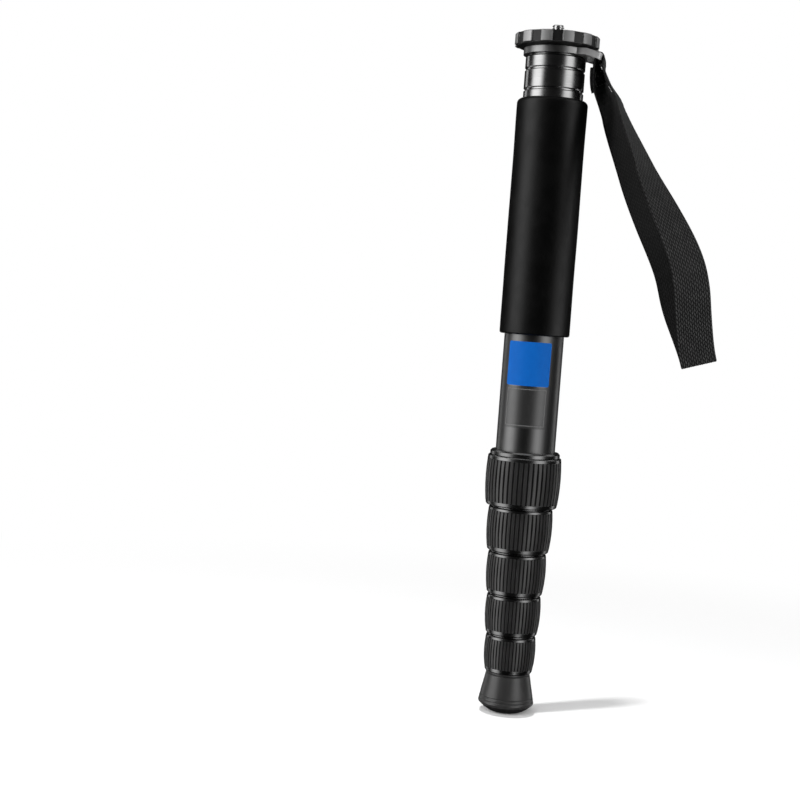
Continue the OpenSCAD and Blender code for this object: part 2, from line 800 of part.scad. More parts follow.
module foot_sole() {
    sole_r = foot_d / 2 - sole_inset;
    reach = sole_r - sole_flat_r;
    // Arc that leaves the flat level and meets the cone at the sole's edge
    dome_r = (pow(reach, 2) + pow(sole_h, 2)) / (2 * sole_h);
    color("#18181a")
    rotate_extrude() {
        square([sole_flat_r, sole_h]);
        intersection() {
            translate([sole_flat_r, dome_r])
                circle(r = dome_r, $fn = 360);
            translate([sole_flat_r - eps, 0])
                square([reach + eps, sole_h]);
        }
    }
}

camera_stud();
platform_pad();
platform();
strap_ring();
wrist_strap();
neck_cap();
neck_body();
foam_grip();
for (i = [0:TUBES - 1])
    tube(i);
for (i = [1:TUBES - 1])
    bush(i);
for (i = [0:LOCKS - 1]) {
    ferrule(i);
    collar(i);
    rib_sleeve(i);
    collet(i);
}
foot_plug();
foot_screw();
foot_cone();
foot_sole();
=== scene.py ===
"""Looks of a folded camera monopod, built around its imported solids.

The solids stay where the frame puts them. This script gives each its finish, and stands fuller meshes
in for the foam, the webbing, the pad and the threaded stud. It adds the tube's labels, a floor, studio
lights and a camera.
"""

import json
import logging
import math
from dataclasses import dataclass, field
from enum import Enum
from functools import cached_property
from typing import Any, Callable, Mapping, Optional, Sequence, Union

import bpy
from mathutils import Matrix, Quaternion, Vector, noise

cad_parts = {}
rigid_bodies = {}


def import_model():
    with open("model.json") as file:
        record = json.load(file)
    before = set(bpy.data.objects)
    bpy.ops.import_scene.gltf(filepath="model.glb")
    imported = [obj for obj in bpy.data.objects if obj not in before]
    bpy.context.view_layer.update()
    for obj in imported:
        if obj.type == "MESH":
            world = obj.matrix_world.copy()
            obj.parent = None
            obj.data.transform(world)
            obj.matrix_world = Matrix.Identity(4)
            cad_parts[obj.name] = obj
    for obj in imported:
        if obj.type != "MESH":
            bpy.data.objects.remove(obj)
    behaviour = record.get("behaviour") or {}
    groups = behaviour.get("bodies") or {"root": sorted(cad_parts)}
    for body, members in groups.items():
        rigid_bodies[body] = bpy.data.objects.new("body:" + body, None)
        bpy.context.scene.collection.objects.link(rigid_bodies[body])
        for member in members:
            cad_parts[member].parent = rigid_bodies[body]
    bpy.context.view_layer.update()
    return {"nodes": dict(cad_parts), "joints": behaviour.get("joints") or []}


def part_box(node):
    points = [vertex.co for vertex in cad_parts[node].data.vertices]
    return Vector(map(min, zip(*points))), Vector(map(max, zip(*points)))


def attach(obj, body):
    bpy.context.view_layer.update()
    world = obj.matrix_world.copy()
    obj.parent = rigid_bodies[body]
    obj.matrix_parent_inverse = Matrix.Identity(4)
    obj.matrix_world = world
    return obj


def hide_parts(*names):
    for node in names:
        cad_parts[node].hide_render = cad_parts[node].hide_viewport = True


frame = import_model()

log = logging.getLogger("monopod")

MM = 0.001
TURN = 2 * math.pi
LOCKS = 5
TUBES = 6
FLAT_MAP = "webbing"

Colour = tuple[float, float, float, float]
Number = Union[int, float]
Ring = Sequence[Vector]
Span = tuple[float, float]
Triple = tuple[float, float, float]
Operator = Callable[["Value", "Term"], "Value"]


def grey(level: float, warmth: float = 0.0) -> Colour:
    """A nearly neutral colour of one linear level, warmer where warmth is above 0."""
    return (level * (1 + warmth), level, level * (1 - warmth), 1.0)


WHITE = grey(1.0)
BLACK = grey(0.0)


class Slot(Enum):
    """Names of the record's material slots for the new pieces; the script gives no piece a slot."""

    STEEL = "steel"
    PAD_RUBBER = "pad_rubber"
    FOAM = "foam"
    WEBBING = "webbing"


class Lay(Enum):
    """The way the fine lines of a metal surface run, as the factors that draw a grain out along it.

    A lathe leaves them round the leg, drawing a tube leaves them along it, and blasting leaves none.
    """

    ROUND = (0.02, 0.02, 1.0)
    ALONG = (1.0, 1.0, 0.004)
    NONE = (1.0, 1.0, 1.0)


class Reach(Enum):
    """The distance that a finish changes over."""

    ROUND = "from the leg's axis"
    OUTWARD = "to the strap's side"


class FallsOn(Enum):
    """What a studio light falls on."""

    LEG = "the leg alone"
    HARD = "the leg without its foam"
    FOAM = "the foam alone"
    FLOOR = "the floor alone"


class Run(Enum):
    """The two runs of the strap's loop, with the side of the middle line that each takes."""

    FRONT = 1
    BACK = -1


def operators(operation: str) -> tuple[Operator, Operator]:
    """Makes an operator of shader values and its reflected form, which each add a Math node.

    Args:
        operation: The Math node's operation.

    Returns:
        The operator for a value on its left, and the one for a value on its right.
    """

    def plain(value: "Value", other: "Term") -> "Value":
        """The value first, and then the other term."""
        return value.graph.math(operation, value, other)

    def reflected(value: "Value", other: "Term") -> "Value":
        """The other term first, and then the value."""
        return value.graph.math(operation, other, value)

    return plain, reflected


class Value:
    """A shader socket that takes part in Python arithmetic. What % gives is never negative."""

    __add__, __radd__ = operators("ADD")
    __sub__, __rsub__ = operators("SUBTRACT")
    __mul__, __rmul__ = operators("MULTIPLY")
    __truediv__, __rtruediv__ = operators("DIVIDE")
    __pow__, __rpow__ = operators("POWER")
    __mod__, __rmod__ = operators("FLOORED_MODULO")

    def __init__(self, graph: "Graph", socket: Optional[bpy.types.NodeSocket]) -> None:
        """Wraps one output socket of a graph's node, or none for a node without outputs."""
        self.graph = graph
        self.socket = socket

    def floor(self) -> "Value":
        """The whole number at or below this value."""
        return self.graph.math("FLOOR", self)

    def cos(self) -> "Value":
        """The cosine of this value in radians."""
        return self.graph.math("COSINE", self)

    def ramp(self, start: float, end: float) -> "Value":
        """A smooth step of this value.

        Args:
            start: Value at which the step is 0.
            end: Value at which it is 1.

        Returns:
            The step, from 0 to 1.
        """
        settings = {"interpolation_type": "SMOOTHSTEP"}
        return self.graph.node("MapRange", settings, {"Value": self, "From Min": start, "From Max": end})


Term = Union[Value, Number]


class Graph:
    """The nodes of one material or light."""

    def __init__(self, owner: Union[bpy.types.Material, bpy.types.Light]) -> None:
        """Starts an empty node tree in a material or a light.

        Args:
            owner: The material or light.
        """
        owner.use_nodes = True
        self.tree = owner.node_tree
        self.tree.nodes.clear()

    def node(
        self,
        kind: str,
        settings: Mapping[str, Any],
        inputs: Mapping[Union[str, int], Any],
        output: int = 0,
    ) -> Value:
        """Adds a node.

        Args:
            kind: The node's type, without ShaderNode before it.
            settings: Properties of the node, which are set first.
            inputs: Values or links of its sockets, by name or number.
            output: Number of the output that is wanted.

        Returns:
            That output.
        """
        made = self.tree.nodes.new("ShaderNode" + kind)
        for name, setting in settings.items():
            setattr(made, name, setting)
        for key, given in inputs.items():
            if isinstance(given, Value):
                self.tree.links.new(given.socket, made.inputs[key])
            else:
                made.inputs[key].default_value = given
        return Value(self, made.outputs[output] if made.outputs else None)

    def math(self, operation: str, *terms: Term) -> Value:
        """Adds a Math node for one operation on its terms."""
        return self.node("Math", {"operation": operation}, dict(enumerate(terms)))

    def vector(self, operation: str, *terms: Any, output: int = 0) -> Value:
        """Adds a Vector Math node for one operation on its terms."""
        return self.node("VectorMath", {"operation": operation}, dict(enumerate(terms)), output)

    def mix(self, share: Term, low: Any, high: Any) -> Value:
        """Mixes two colours.

        Args:
            share: How much of high there is, from 0 to 1.
            low: The colour, or a link to one, at 0.
            high: The colour, or a link to one, at 1.

        Returns:
            The mixed colour.
        """
        return self.node("Mix", {"data_type": "RGBA"}, {0: share, 6: low, 7: high}, 2)

    def place(self) -> Value:
        """The point in metres, in the part's own frame."""
        return self.node("TexCoord", {}, {}, 3)

    def axis(self, place: Value, number: int) -> Value:
        """One coordinate of a point: 0, 1 or 2."""
        return self.node("SeparateXYZ", {}, {0: place}, number)

    def stretched(self, place: Value, factors: Triple) -> Value:
        """A point whose coordinates are multiplied by the factors, to draw a pattern out."""
        return self.vector("MULTIPLY", place, factors)

    def cloud(self, place: Value, size: float, detail: float = 2.0) -> Value:
        """Soft noise from 0 to 1.

        Args:
            place: Point that it is read at.
            size: Width of one blotch in metres.
            detail: How many finer layers it has.

        Returns:
            The noise.
        """
        return self.node("TexNoise", {}, {"Vector": place, "Scale": 1 / size, "Detail": detail})

    def cells(self, place: Value, size: float) -> Value:
        """Distance from the middle of the nearest of many cells, each about size metres wide."""
        return self.node("TexVoronoi", {}, {"Vector": place, "Scale": 1 / size})

    def lines(self, lay: Lay, place: Value, pitch: float) -> Value:
        """Fine lines on a metal surface.

        Args:
            lay: The way that they run.
            place: Point that they are read at.
            pitch: Their distance in metres.

        Returns:
            Their height, from 0 to 1.
        """
        return self.cloud(self.stretched(place, lay.value), 2 * pitch, 1.0)

    def rounded(self, radius: float) -> Value:
        """The normal of a surface whose edges are rounded by a radius in metres."""
        return self.node("Bevel", {"samples": 4}, {"Radius": radius})

    def edges(self, rounded: Value) -> Value:
        """How near an edge is, from 0 on a smooth stretch to 1 on the edge."""
        plain = self.node("NewGeometry", {}, {}, 1)
        return (1 - self.vector("DOT_PRODUCT", rounded, plain, output=1)).ramp(0.02, 0.16)

    def shader(
        self,
        fixed: Mapping[str, float],
        colour: Any,
        roughness: Term,
        height: Value,
        depth: float,
        normal: Optional[Value] = None,
    ) -> Value:
        """Adds a shader with a relief.

        Args:
            fixed: Sockets of the shader that hold one number all over.
            colour: Its colour, or a link to one.
            roughness: Its roughness.
            height: Its relief from 0 to 1.
            depth: Real height of the relief in metres.
            normal: Normal that the relief stands on, where it isn't the mesh's own.

        Returns:
            The shader.
        """
        bump = {"Strength": 1.0, "Distance": depth, "Height": height}
        if normal is not None:
            bump["Normal"] = normal
        relief = self.node("Bump", {}, bump)
        inputs = {**fixed, "Base Color": colour, "Roughness": roughness, "Normal": relief}
        return self.node("BsdfPrincipled", {}, inputs)

    def glow(self, colour: Any) -> Value:
        """Adds a shader that gives off light of a colour."""
        return self.node("Emission", {}, {"Color": colour, "Strength": 1.0})


@dataclass(frozen=True)
class Finish:
    """A surface finish, which makes its material once."""

    name: str

    def draw(self, graph: Graph) -> Value:
        """Adds the finish's nodes to a graph, and gives back their shader."""
        raise NotImplementedError

    def material(self) -> bpy.types.Material:
        """The material of this finish, made when it is first asked for.

        Returns:
            The material.
        """
        found = bpy.data.materials.get(self.name)
        if found is None:
            found = bpy.data.materials.new(self.name)
            graph = Graph(found)
            graph.node("OutputMaterial", {}, {"Surface": self.draw(graph)})
        return found


@dataclass(frozen=True)
class Metal(Finish):
    """Anodised or bare metal with fine tool lines, smudges, and brighter edges: wear, partly a painted
    highlight.
    """

    colour: Colour
    worn: Colour
    roughness: float
    lay: Lay = Lay.ROUND
    pitch: float = 0.16 * MM
    depth: float = 0.002 * MM
    edge: float = 0.16 * MM
    smudge: float = 9 * MM
    wear_patch: float = 2.5 * MM

    def draw(self, graph: Graph) -> Value:
        """Adds tool lines, smudges and paler edges, which are wear and partly a painted highlight.

        Args:
            graph: The material's nodes.

        Returns:
            The metal's shader.
        """
        place = graph.place()
        lines = graph.lines(self.lay, place, self.pitch)
        smudges = graph.cloud(place, self.smudge, 4.0).ramp(0.42, 0.72)
        rounded = graph.rounded(self.edge)
        paler_share = graph.edges(rounded) * graph.cloud(place, self.wear_patch).ramp(0.3, 0.65)
        dulled = graph.mix(0.25 * lines, self.tone(graph, place), grey(self.colour[1] * 0.6))
        # Paler edges: wear, and partly a painted highlight.
        colour = graph.mix(0.7 * paler_share, dulled, self.worn)
        roughness = self.dullness(graph, place) + 0.1 * (lines - 0.5) + 0.05 * smudges
        return graph.shader({"Metallic": 1.0}, colour, roughness, lines, self.depth, rounded)

    def tone(self, graph: Graph, place: Value) -> Any:
        """The metal's colour at a place."""
        return self.colour

    def dullness(self, graph: Graph, place: Value) -> Term:
        """The metal's roughness at a place."""
        return self.roughness


@dataclass(frozen=True)
class InnerShadedMetal(Metal):
    """Metal with painted shade near the leg's axis: darker and rougher there than far from it."""

    inner: float = 21.75 * MM
    outer: float = 22.3 * MM
    inner_shade_share: float = 0.06
    inner_roughness: float = 0.55
    reach: Reach = Reach.ROUND

    def paler_share(self, graph: Graph, place: Value) -> Value:
        """How far a place lies out of the painted shade.

        Args:
            graph: The material's nodes.
            place: Point that it is read at.

        Returns:
            The share, from 0 at the inner distance to 1 at the outer one.
        """
        distance = graph.axis(place, 0)
        if self.reach is Reach.ROUND:
            distance = graph.vector("LENGTH", graph.stretched(place, (1.0, 1.0, 0.0)), output=1)
        return distance.ramp(self.inner, self.outer)

    def tone(self, graph: Graph, place: Value) -> Value:
        """The metal's colour, which painted shade darkens inside."""
        return graph.mix(self.paler_share(graph, place), grey(self.colour[1] * self.inner_shade_share), self.colour)

    def dullness(self, graph: Graph, place: Value) -> Value:
        """The metal's roughness, which is another one inside."""
        return self.inner_roughness + (self.roughness - self.inner_roughness) * self.paler_share(graph, place)


@dataclass(frozen=True)
class DrawnTube(Finish):
    """Satin anodised tube with drawing lines along it, faint scuffs and long rub marks."""

    colour: Colour
    worn: Colour
    roughness: float
    pitch: float = 0.22 * MM
    grain: float = 0.12 * MM
    rub: float = 1.6 * MM
    rub_way: Triple = (1.0, 1.0, 0.02)
    scuff: float = 11 * MM
    depth: float = 0.003 * MM

    def draw(self, graph: Graph) -> Value:
        """Adds drawing lines, grain, rub marks and scuffs.

        Args:
            graph: The material's nodes.

        Returns:
            The tube's shader.
        """
        place = graph.place()
        lines = graph.lines(Lay.ALONG, place, self.pitch)
        grain = graph.cloud(place, self.grain, 1.0)
        rubs = graph.cloud(graph.stretched(place, self.rub_way), self.rub, 3.0).ramp(0.6, 0.8)
        scuffs = graph.cloud(place, self.scuff, 5.0).ramp(0.5, 0.75)
        toned = graph.mix(0.5 * lines, self.colour, grey(self.colour[1] * 0.7))
        colour = graph.mix(0.35 * rubs, toned, self.worn)
        roughness = self.roughness + 0.08 * (grain - 0.5) + 0.05 * scuffs - 0.05 * rubs
        relief = 0.6 * lines + 0.4 * grain
        return graph.shader({"Metallic": 1.0}, colour, roughness, relief, self.depth)


@dataclass(frozen=True)
class Rubber(Finish):
    """Moulded rubber or plastic with a fine grain, a bloom of dust and paler, smoother crests."""

    colour: Colour
    worn: Colour
    roughness: float
    grain: float = 0.18 * MM
    depth: float = 0.012 * MM
    edge: float = 0.2 * MM
    shine: float = 0.5
    bloom: float = 6 * MM
    wear_patch: float = 1.5 * MM

    def draw(self, graph: Graph) -> Value:
        """Adds grain, bloom and paler worn edges.

        Args:
            graph: The material's nodes.

        Returns:
            The rubber's shader.
        """
        place = graph.place()
        grain = graph.cloud(place, self.grain, 3.0)
        bloom = graph.cloud(place, self.bloom, 4.0).ramp(0.45, 0.8)
        rounded = graph.rounded(self.edge)
        paler_share = graph.edges(rounded) * graph.cloud(place, self.wear_patch).ramp(0.25, 0.7)
        toned = graph.mix(0.35 * bloom + 0.25 * grain, self.colour, grey(self.colour[1] * 1.8, 0.03))
        colour = graph.mix(0.6 * paler_share, toned, self.worn)
        roughness = self.roughness + 0.1 * (grain - 0.5) + 0.06 * bloom - 0.08 * paler_share
        fixed = {"Specular IOR Level": self.shine}
        return graph.shader(fixed, colour, roughness, grain, self.depth, rounded)


@dataclass(frozen=True)
class RibbedRubber(Rubber):
    """Rubber with polished ribs along the leg and dull grooves between them, darkened by painted shade.
    """

    grooves: int = 48
    groove_half: float = 0.27
    groove_dust: float = 0.5 * MM
    groove_roughness: float = 0.8
    groove_shine: float = 0.1

    def draw(self, graph: Graph) -> Value:
        """Adds the ribs' surface, and in the grooves a duller one darkened by painted shade.

        Args:
            graph: The material's nodes.

        Returns:
            The two surfaces' shader.
        """
        place = graph.place()
        angle = graph.math("ARCTAN2", graph.axis(place, 1), graph.axis(place, 0))
        part = angle * (self.grooves / TURN) % 1
        from_groove = 0.5 - graph.math("ABSOLUTE", part - 0.5)
        crest = from_groove.ramp(0.4 * self.groove_half, self.groove_half)
        dust = graph.cloud(place, self.groove_dust, 3.0)
        # Painted shade: the grooves take only 0.4 to 0.8 of the rubber's colour, mottled.
        colour = graph.mix(dust, grey(0.4 * self.colour[1]), grey(0.8 * self.colour[1]))
        fixed = {"Specular IOR Level": self.groove_shine * self.shine}
        dull = graph.shader(fixed, colour, self.groove_roughness, dust, self.depth)
        return graph.node("MixShader", {}, {0: crest, 1: dull, 2: super().draw(graph)})


@dataclass(frozen=True)
class Foam(Finish):
    """Closed-cell foam with a pored skin."""

    colour: Colour
    pore: float = 0.5 * MM
    grain: float = 0.16 * MM
    mottle: float = 8 * MM
    depth: float = 0.04 * MM
    roughness: float = 0.34
    shine: float = 0.22

    def draw(self, graph: Graph) -> Value:
        """Adds pores with painted shade in them, fine grain and a faint mottle.

        Args:
            graph: The material's nodes.

        Returns:
            The foam's shader.
        """
        place = graph.place()
        pores = graph.cells(place, self.pore).ramp(0.05, 0.6)
        grain = graph.cloud(place, self.grain, 2.0)
        mottle = graph.cloud(place, self.mottle, 5.0).ramp(0.35, 0.75)
        toned = graph.mix(0.55 * mottle, self.colour, grey(self.colour[1] * 1.7))
        # Painted shade: the pores are darker than the skin round them.
        colour = graph.mix(0.5 * (1 - pores), toned, grey(self.colour[1] * 0.35))
        roughness = self.roughness + 0.12 * grain + 0.08 * mottle
        relief = 0.65 * pores + 0.35 * grain
        return graph.shader({"Specular IOR Level": self.shine}, colour, roughness, relief, self.depth)


@dataclass(frozen=True)
class Weave:
    """The sizes of a webbing's weave, shared by its mesh and its finish."""

    width: float
    cord: float
    pick: float
    depth: float
    slant: float = 0.6
    float_share: float = 0.7

    def height(self, across: float, along: float) -> float:
        """Height of the yarns at a point of the webbing.

        Args:
            across: Distance from one edge in metres.
            along: Distance along the webbing in metres.

        Returns:
            The height from 0, between two yarns, to 1 on top of one.
        """
        column, part = divmod(across / self.cord, 1.0)
        way = 1 if column % 2 else -1
        phase = along / self.pick + way * self.slant * (part - 0.5) + 0.5 * (column % 2)
        crown = 1 - (2 * part - 1) ** 2
        return crown * (1 - self.float_share * (0.5 - 0.5 * math.cos(TURN * phase)))


@dataclass(frozen=True)
class Webbing(Finish):
    """Woven nylon: slanted yarns in columns along the webbing, with a nap of loose fibre.

    The loop's inner face carries painted shade and is darker than the outer one. On the flat map it lies
    beyond inner_from to inner_to, counted in widths of the webbing.
    """

    weave: Weave
    colour: Colour
    top: Colour
    inner_shade_share: float = 0.2
    inner_from: float = 1.3
    inner_to: float = 1.7
    fibre: float = 0.09 * MM
    fibre_way: Triple = (1.0, 1.0, 0.35)
    nap: float = 5 * MM
    depth: float = 0.16 * MM
    roughness: float = 0.58
    shine: float = 0.2

    def draw(self, graph: Graph) -> Value:
        """Adds the yarns' shading, painted shade on the loop's inner face, their relief and the nap.

        Args:
            graph: The material's nodes.

        Returns:
            The webbing's shader.
        """
        flat = graph.node("UVMap", {"uv_map": FLAT_MAP}, {})
        place = graph.place()
        columns = graph.axis(flat, 0) / self.weave.cord
        odd = columns.floor() % 2
        part = columns % 1
        way = 2 * odd - 1
        phase = graph.axis(flat, 1) / self.weave.pick + way * self.weave.slant * (part - 0.5) + 0.5 * odd
        crown = 1 - (2 * part - 1) ** 2
        floats = 1 - self.weave.float_share * (0.5 - 0.5 * (TURN * phase).cos())
        yarns = crown * floats
        fibre = graph.cloud(graph.stretched(place, self.fibre_way), self.fibre, 2.0)
        nap = graph.cloud(place, self.nap, 4.0).ramp(0.35, 0.8)
        width = self.weave.width
        inner = graph.axis(flat, 0).ramp(self.inner_from * width, self.inner_to * width)
        # Painted shade: the loop's inner face is darker than the outer one.
        painted_shade_factor = 1 - (1 - self.inner_shade_share) * inner
        lit = yarns.ramp(0.1, 0.9) * (0.65 + 0.35 * nap) * painted_shade_factor
        colour = graph.mix(lit, self.colour, self.top)
        roughness = self.roughness + 0.2 * fibre - 0.08 * lit
        relief = 0.8 * yarns + 0.2 * fibre
        return graph.shader({"Specular IOR Level": self.shine}, colour, roughness, relief, self.depth)


@dataclass(frozen=True)
class SewingThread(Finish):
    """Twisted nylon sewing thread."""

    colour: Colour
    twist: float = 0.3 * MM
    twist_way: Triple = (0.6, 0.6, 0.55)
    blotch: float = 0.8 * MM
    depth: float = 0.03 * MM
    roughness: float = 0.42
    shine: float = 0.5

    def draw(self, graph: Graph) -> Value:
        """Adds the twist's strands with painted shade between them, and a slight change of tone.

        Args:
            graph: The material's nodes.

        Returns:
            The thread's shader.
        """
        place = graph.place()
        slanted = graph.vector("DOT_PRODUCT", place, self.twist_way, output=1)
        strands = 0.5 + 0.5 * (slanted * (TURN / self.twist)).cos()
        tone = graph.cloud(place, self.blotch)
        # Painted shade: the thread is darker between its strands than on their crests.
        colour = graph.mix(0.5 * strands + 0.3 * tone, self.colour, grey(self.colour[1] * 2.2))
        roughness = self.roughness + 0.15 * tone
        return graph.shader({"Specular IOR Level": self.shine}, colour, roughness, strands, self.depth)


@dataclass(frozen=True)
class PrintedFilm(Finish):
    """A printed film label: even ink with a faint screen, a soft gloss and a slight ripple."""

    colour: Colour
    deep: Colour
    roughness: float
    shine: float = 0.25
    mottle: float = 3.5 * MM
    screen: float = 0.22 * MM
    ripple: float = 7 * MM
    depth: float = 0.02 * MM

    def draw(self, graph: Graph) -> Value:
        """Adds ink mottle, the print screen and the film's ripple.

        Args:
            graph: The material's nodes.

        Returns:
            The film's shader.
        """
        place = graph.place()
        mottle = graph.cloud(place, self.mottle, 4.0)
        screen = graph.cells(place, self.screen).ramp(0.15, 0.55)
        ripple = graph.cloud(place, self.ripple, 1.0)
        colour = graph.mix(0.55 * mottle + 0.25 * screen, self.colour, self.deep)
        roughness = self.roughness + 0.08 * mottle
        relief = 0.9 * ripple + 0.1 * screen
        return graph.shader({"Specular IOR Level": self.shine}, colour, roughness, relief, self.depth)


@dataclass(frozen=True)
class PaleFloor(Finish):
    """A plain, pale and slightly uneven studio floor."""

    colour: Colour = grey(0.9)
    mottle: float = 0.35
    roughness: float = 0.8
    shine: float = 0.1
    near: float = 0.15
    far: float = 0.6

    def draw(self, graph: Graph) -> Value:
        """Adds a faint mottle, and a glow far from the leg that meets the white surroundings.

        Args:
            graph: The material's nodes.

        Returns:
            The floor's shader.
        """
        place = graph.place()
        mottle = graph.cloud(place, self.mottle, 3.0)
        distance = graph.vector("LENGTH", place, output=1)
        colour = graph.mix(0.3 * mottle, self.colour, grey(self.colour[1] * 0.97))
        fixed = {"Roughness": self.roughness, "Specular IOR Level": self.shine}
        lit = graph.node("BsdfPrincipled", {}, {**fixed, "Base Color": colour})
        share = distance.ramp(self.near, self.far)
        return graph.node("MixShader", {}, {0: share, 1: lit, 2: graph.glow(WHITE)})


@dataclass(frozen=True)
class WhiteBackdrop(Finish):
    """A white surround that glows evenly."""

    def draw(self, graph: Graph) -> Value:
        """Adds the glow."""
        return graph.glow(WHITE)


GLOSS_BLACK = Metal("finish_gloss_black", grey(0.13), grey(0.3), 0.24)
NECK_GLOSS = Metal("finish_neck_gloss", grey(0.25), grey(0.45), 0.2)
# The platform's hollows carry painted shade: darker and rougher than its lobes.
PLATFORM_BLACK = InnerShadedMetal(
    "finish_platform_black", grey(0.32), grey(0.7), 0.5, Lay.NONE, 0.1 * MM, 0.006 * MM, 0.25 * MM
)
# The strap ring carries painted shade round the neck, and its paler, rougher ear is a painted reflection
# of the floor.
LUG_GREY = InnerShadedMetal(
    "finish_lug_grey", grey(0.7), grey(0.85), 0.62, Lay.NONE, 0.12 * MM, 0.004 * MM, 0.25 * MM,
    inner=8 * MM, outer=14 * MM, inner_shade_share=0.2, inner_roughness=0.36, reach=Reach.OUTWARD,
)
STEEL = Metal("finish_steel", grey(0.55), grey(0.75), 0.2, Lay.ROUND, 0.1 * MM, 0.003 * MM, 0.08 * MM)
BARE_ALUMINIUM = Metal("finish_bare_aluminium", grey(0.5), grey(0.7), 0.35)
TUBE_GREY = DrawnTube("finish_tube_grey", grey(0.118), grey(0.2), 0.36)
LOCK_RUBBER = RibbedRubber("finish_lock_rubber", grey(0.014), grey(0.038), 0.4)
PAD_RUBBER = Rubber("finish_pad_rubber", grey(0.014), grey(0.04), 0.62, 0.3 * MM, 0.02 * MM)
SOLE_RUBBER = Rubber("finish_sole_rubber", grey(0.008), grey(0.03), 0.6, 0.35 * MM, 0.025 * MM)
FOOT_GREY = Rubber("finish_foot_grey", grey(0.025), grey(0.07), 0.36, 0.14 * MM, 0.006 * MM)
BUSH_PLASTIC = Rubber(
    "finish_bush_plastic", (0.6, 0.58, 0.52, 1.0), grey(0.7), 0.4, 0.4 * MM, 0.006 * MM
)
GRIP_FOAM = Foam("finish_foam", grey(0.0011))
STITCH_THREAD = SewingThread("finish_stitch_thread", grey(0.014))
LABEL_BLUE = PrintedFilm(
    "finish_label_blue", (0.0012, 0.13, 0.52, 1.0), (0.001, 0.09, 0.4, 1.0), 0.5, 0.1
)
LABEL_GREY = PrintedFilm("finish_label_grey", grey(0.02), grey(0.014), 0.34, 0.8)
LABEL_LINE = PrintedFilm("finish_label_line", grey(0.16), grey(0.1), 0.45)


def dress(piece: bpy.types.Object, finish: Finish) -> None:
    """Gives an object one finish all over."""
    piece.data.materials.clear()
    piece.data.materials.append(finish.material())


def dress_nodes(names: Sequence[str], finish: Finish) -> None:
    """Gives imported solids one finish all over.

    Args:
        names: Names of the nodes.
        finish: Their finish.
    """
    for name in names:
        dress(frame["nodes"][name], finish)
        log.info("solid %s has %s", name, finish.name)


def top_of(node: str) -> float:
    """Height of a node's highest point."""
    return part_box(node)[1].z


def bottom_of(node: str) -> float:
    """Height of a node's lowest point."""
    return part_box(node)[0].z


def radius_of(node: str) -> float:
    """Largest radius of a round node about the leg's axis."""
    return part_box(node)[1].x


def facing(angle: float) -> Vector:
    """The level direction at an angle in radians from the front, growing to the right."""
    return Vector((math.sin(angle), -math.cos(angle), 0))


def polar(radius: float, angle: float, height: float) -> Vector:
    """A point about the leg's axis, at an angle in radians from +X."""
    return Vector((radius * math.cos(angle), radius * math.sin(angle), height))


def circle(radius: float, height: float, steps: int) -> list[Vector]:
    """A ring of points about the leg's axis."""
    return [polar(radius, TURN * j / steps, height) for j in range(steps)]


def lathe(outline: Sequence[Span], steps: int) -> list[list[Vector]]:
    """The rings that an outline of (radius, height) points draws as it turns about the leg's axis."""
    return [circle(radius, height, steps) for radius, height in outline]


def quarter(steps: int) -> list[float]:
    """The angles in radians of a quarter turn's steps, with both ends."""
    return [math.pi / 2 * k / steps for k in range(steps + 1)]


def add_object(name: str, data: bpy.types.ID) -> bpy.types.Object:
    """Makes an object of a mesh, a light or a camera, and links it to the scene.

    Args:
        name: Name of the new object.
        data: The mesh, light or camera.

    Returns:
        The object.
    """
    made = bpy.data.objects.new(name, data)
    bpy.context.scene.collection.objects.link(made)
    return made


def add_mesh(name: str, points: Ring, faces: Sequence[Sequence[int]]) -> bpy.types.Object:
    """Makes an object of points and smooth faces.

    Args:
        name: Name of the new object.
        points: Its points.
        faces: The numbers of each face's points.

    Returns:
        The object, linked to the scene.
    """
    mesh = bpy.data.meshes.new(name)
    mesh.from_pydata(points, [], faces)
    mesh.polygons.foreach_set("use_smooth", [True] * len(mesh.polygons))
    mesh.update()
    return add_object(name, mesh)


def ring_faces(rings: int, count: int, loop: bool = False, first: int = 0) -> list[tuple[int, ...]]:
    """Works out the faces that join closed rings of points.

    Args:
        rings: Number of rings.
        count: Number of points in each.
        loop: True where the last ring joins the first, and False where both ends are capped.
        first: Number of the first ring's first point.

    Returns:
        The numbers of each face's points, ring by ring, with the caps last.
    """
    faces = []
    for k in range(rings if loop else rings - 1):
        low = first + k * count
        high = first + (k + 1) % rings * count
        for j in range(count):
            n = (j + 1) % count
            faces.append((low + j, low + n, high + n, high + j))
    if not loop:
        last = first + (rings - 1) * count
        faces.append(tuple(first + j for j in reversed(range(count))))
        faces.append(tuple(last + j for j in range(count)))
    return faces


def skin(
    name: str,
    rings: Sequence[Ring],
    loop: bool = False,
    flat_map: Optional[tuple[Sequence[float], Sequence[float]]] = None,
    sharp_deg: float = 40.0,
) -> bpy.types.Object:
    """Joins closed rings of points by faces.

    Args:
        name: Name of the new object.
        rings: The rings, each with as many points.
        loop: True where the last ring joins the first, and False where both ends are capped.
        flat_map: Places on the flat map: across for each point of a ring, and along for each ring,
            with one more along where the rings close a loop.
        sharp_deg: Angle between two faces above which their edge stays sharp.

    Returns:
        The object, linked to the scene.
    """
    count = len(rings[0])
    points = [point for ring in rings for point in ring]
    made = add_mesh(name, points, ring_faces(len(rings), count, loop))
    if flat_map is not None:
        across, along = flat_map
        corners = []
        for k in range(len(along) - 1):
            for j in range(count):
                n = (j + 1) % count
                corners += [(j, k), (n, k), (n, k + 1), (j, k + 1)]
        layer = made.data.uv_layers.new(name=FLAT_MAP)
        for spot, (u, v) in zip(layer.data, corners):
            spot.uv = (across[u], along[v])
    made.data.set_sharp_from_angle(angle=math.radians(sharp_deg))
    return made


def settle(piece: bpy.types.Object, body: str, finish: Finish) -> None:
    """Dresses a new piece and lets it ride on a body.

    Args:
        piece: The piece, in place.
        body: Name of the body that carries it.
        finish: Its finish.
    """
    dress(piece, finish)
    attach(piece, body)
    log.info("piece %s rides on %s with %s", piece.name, body, finish.name)


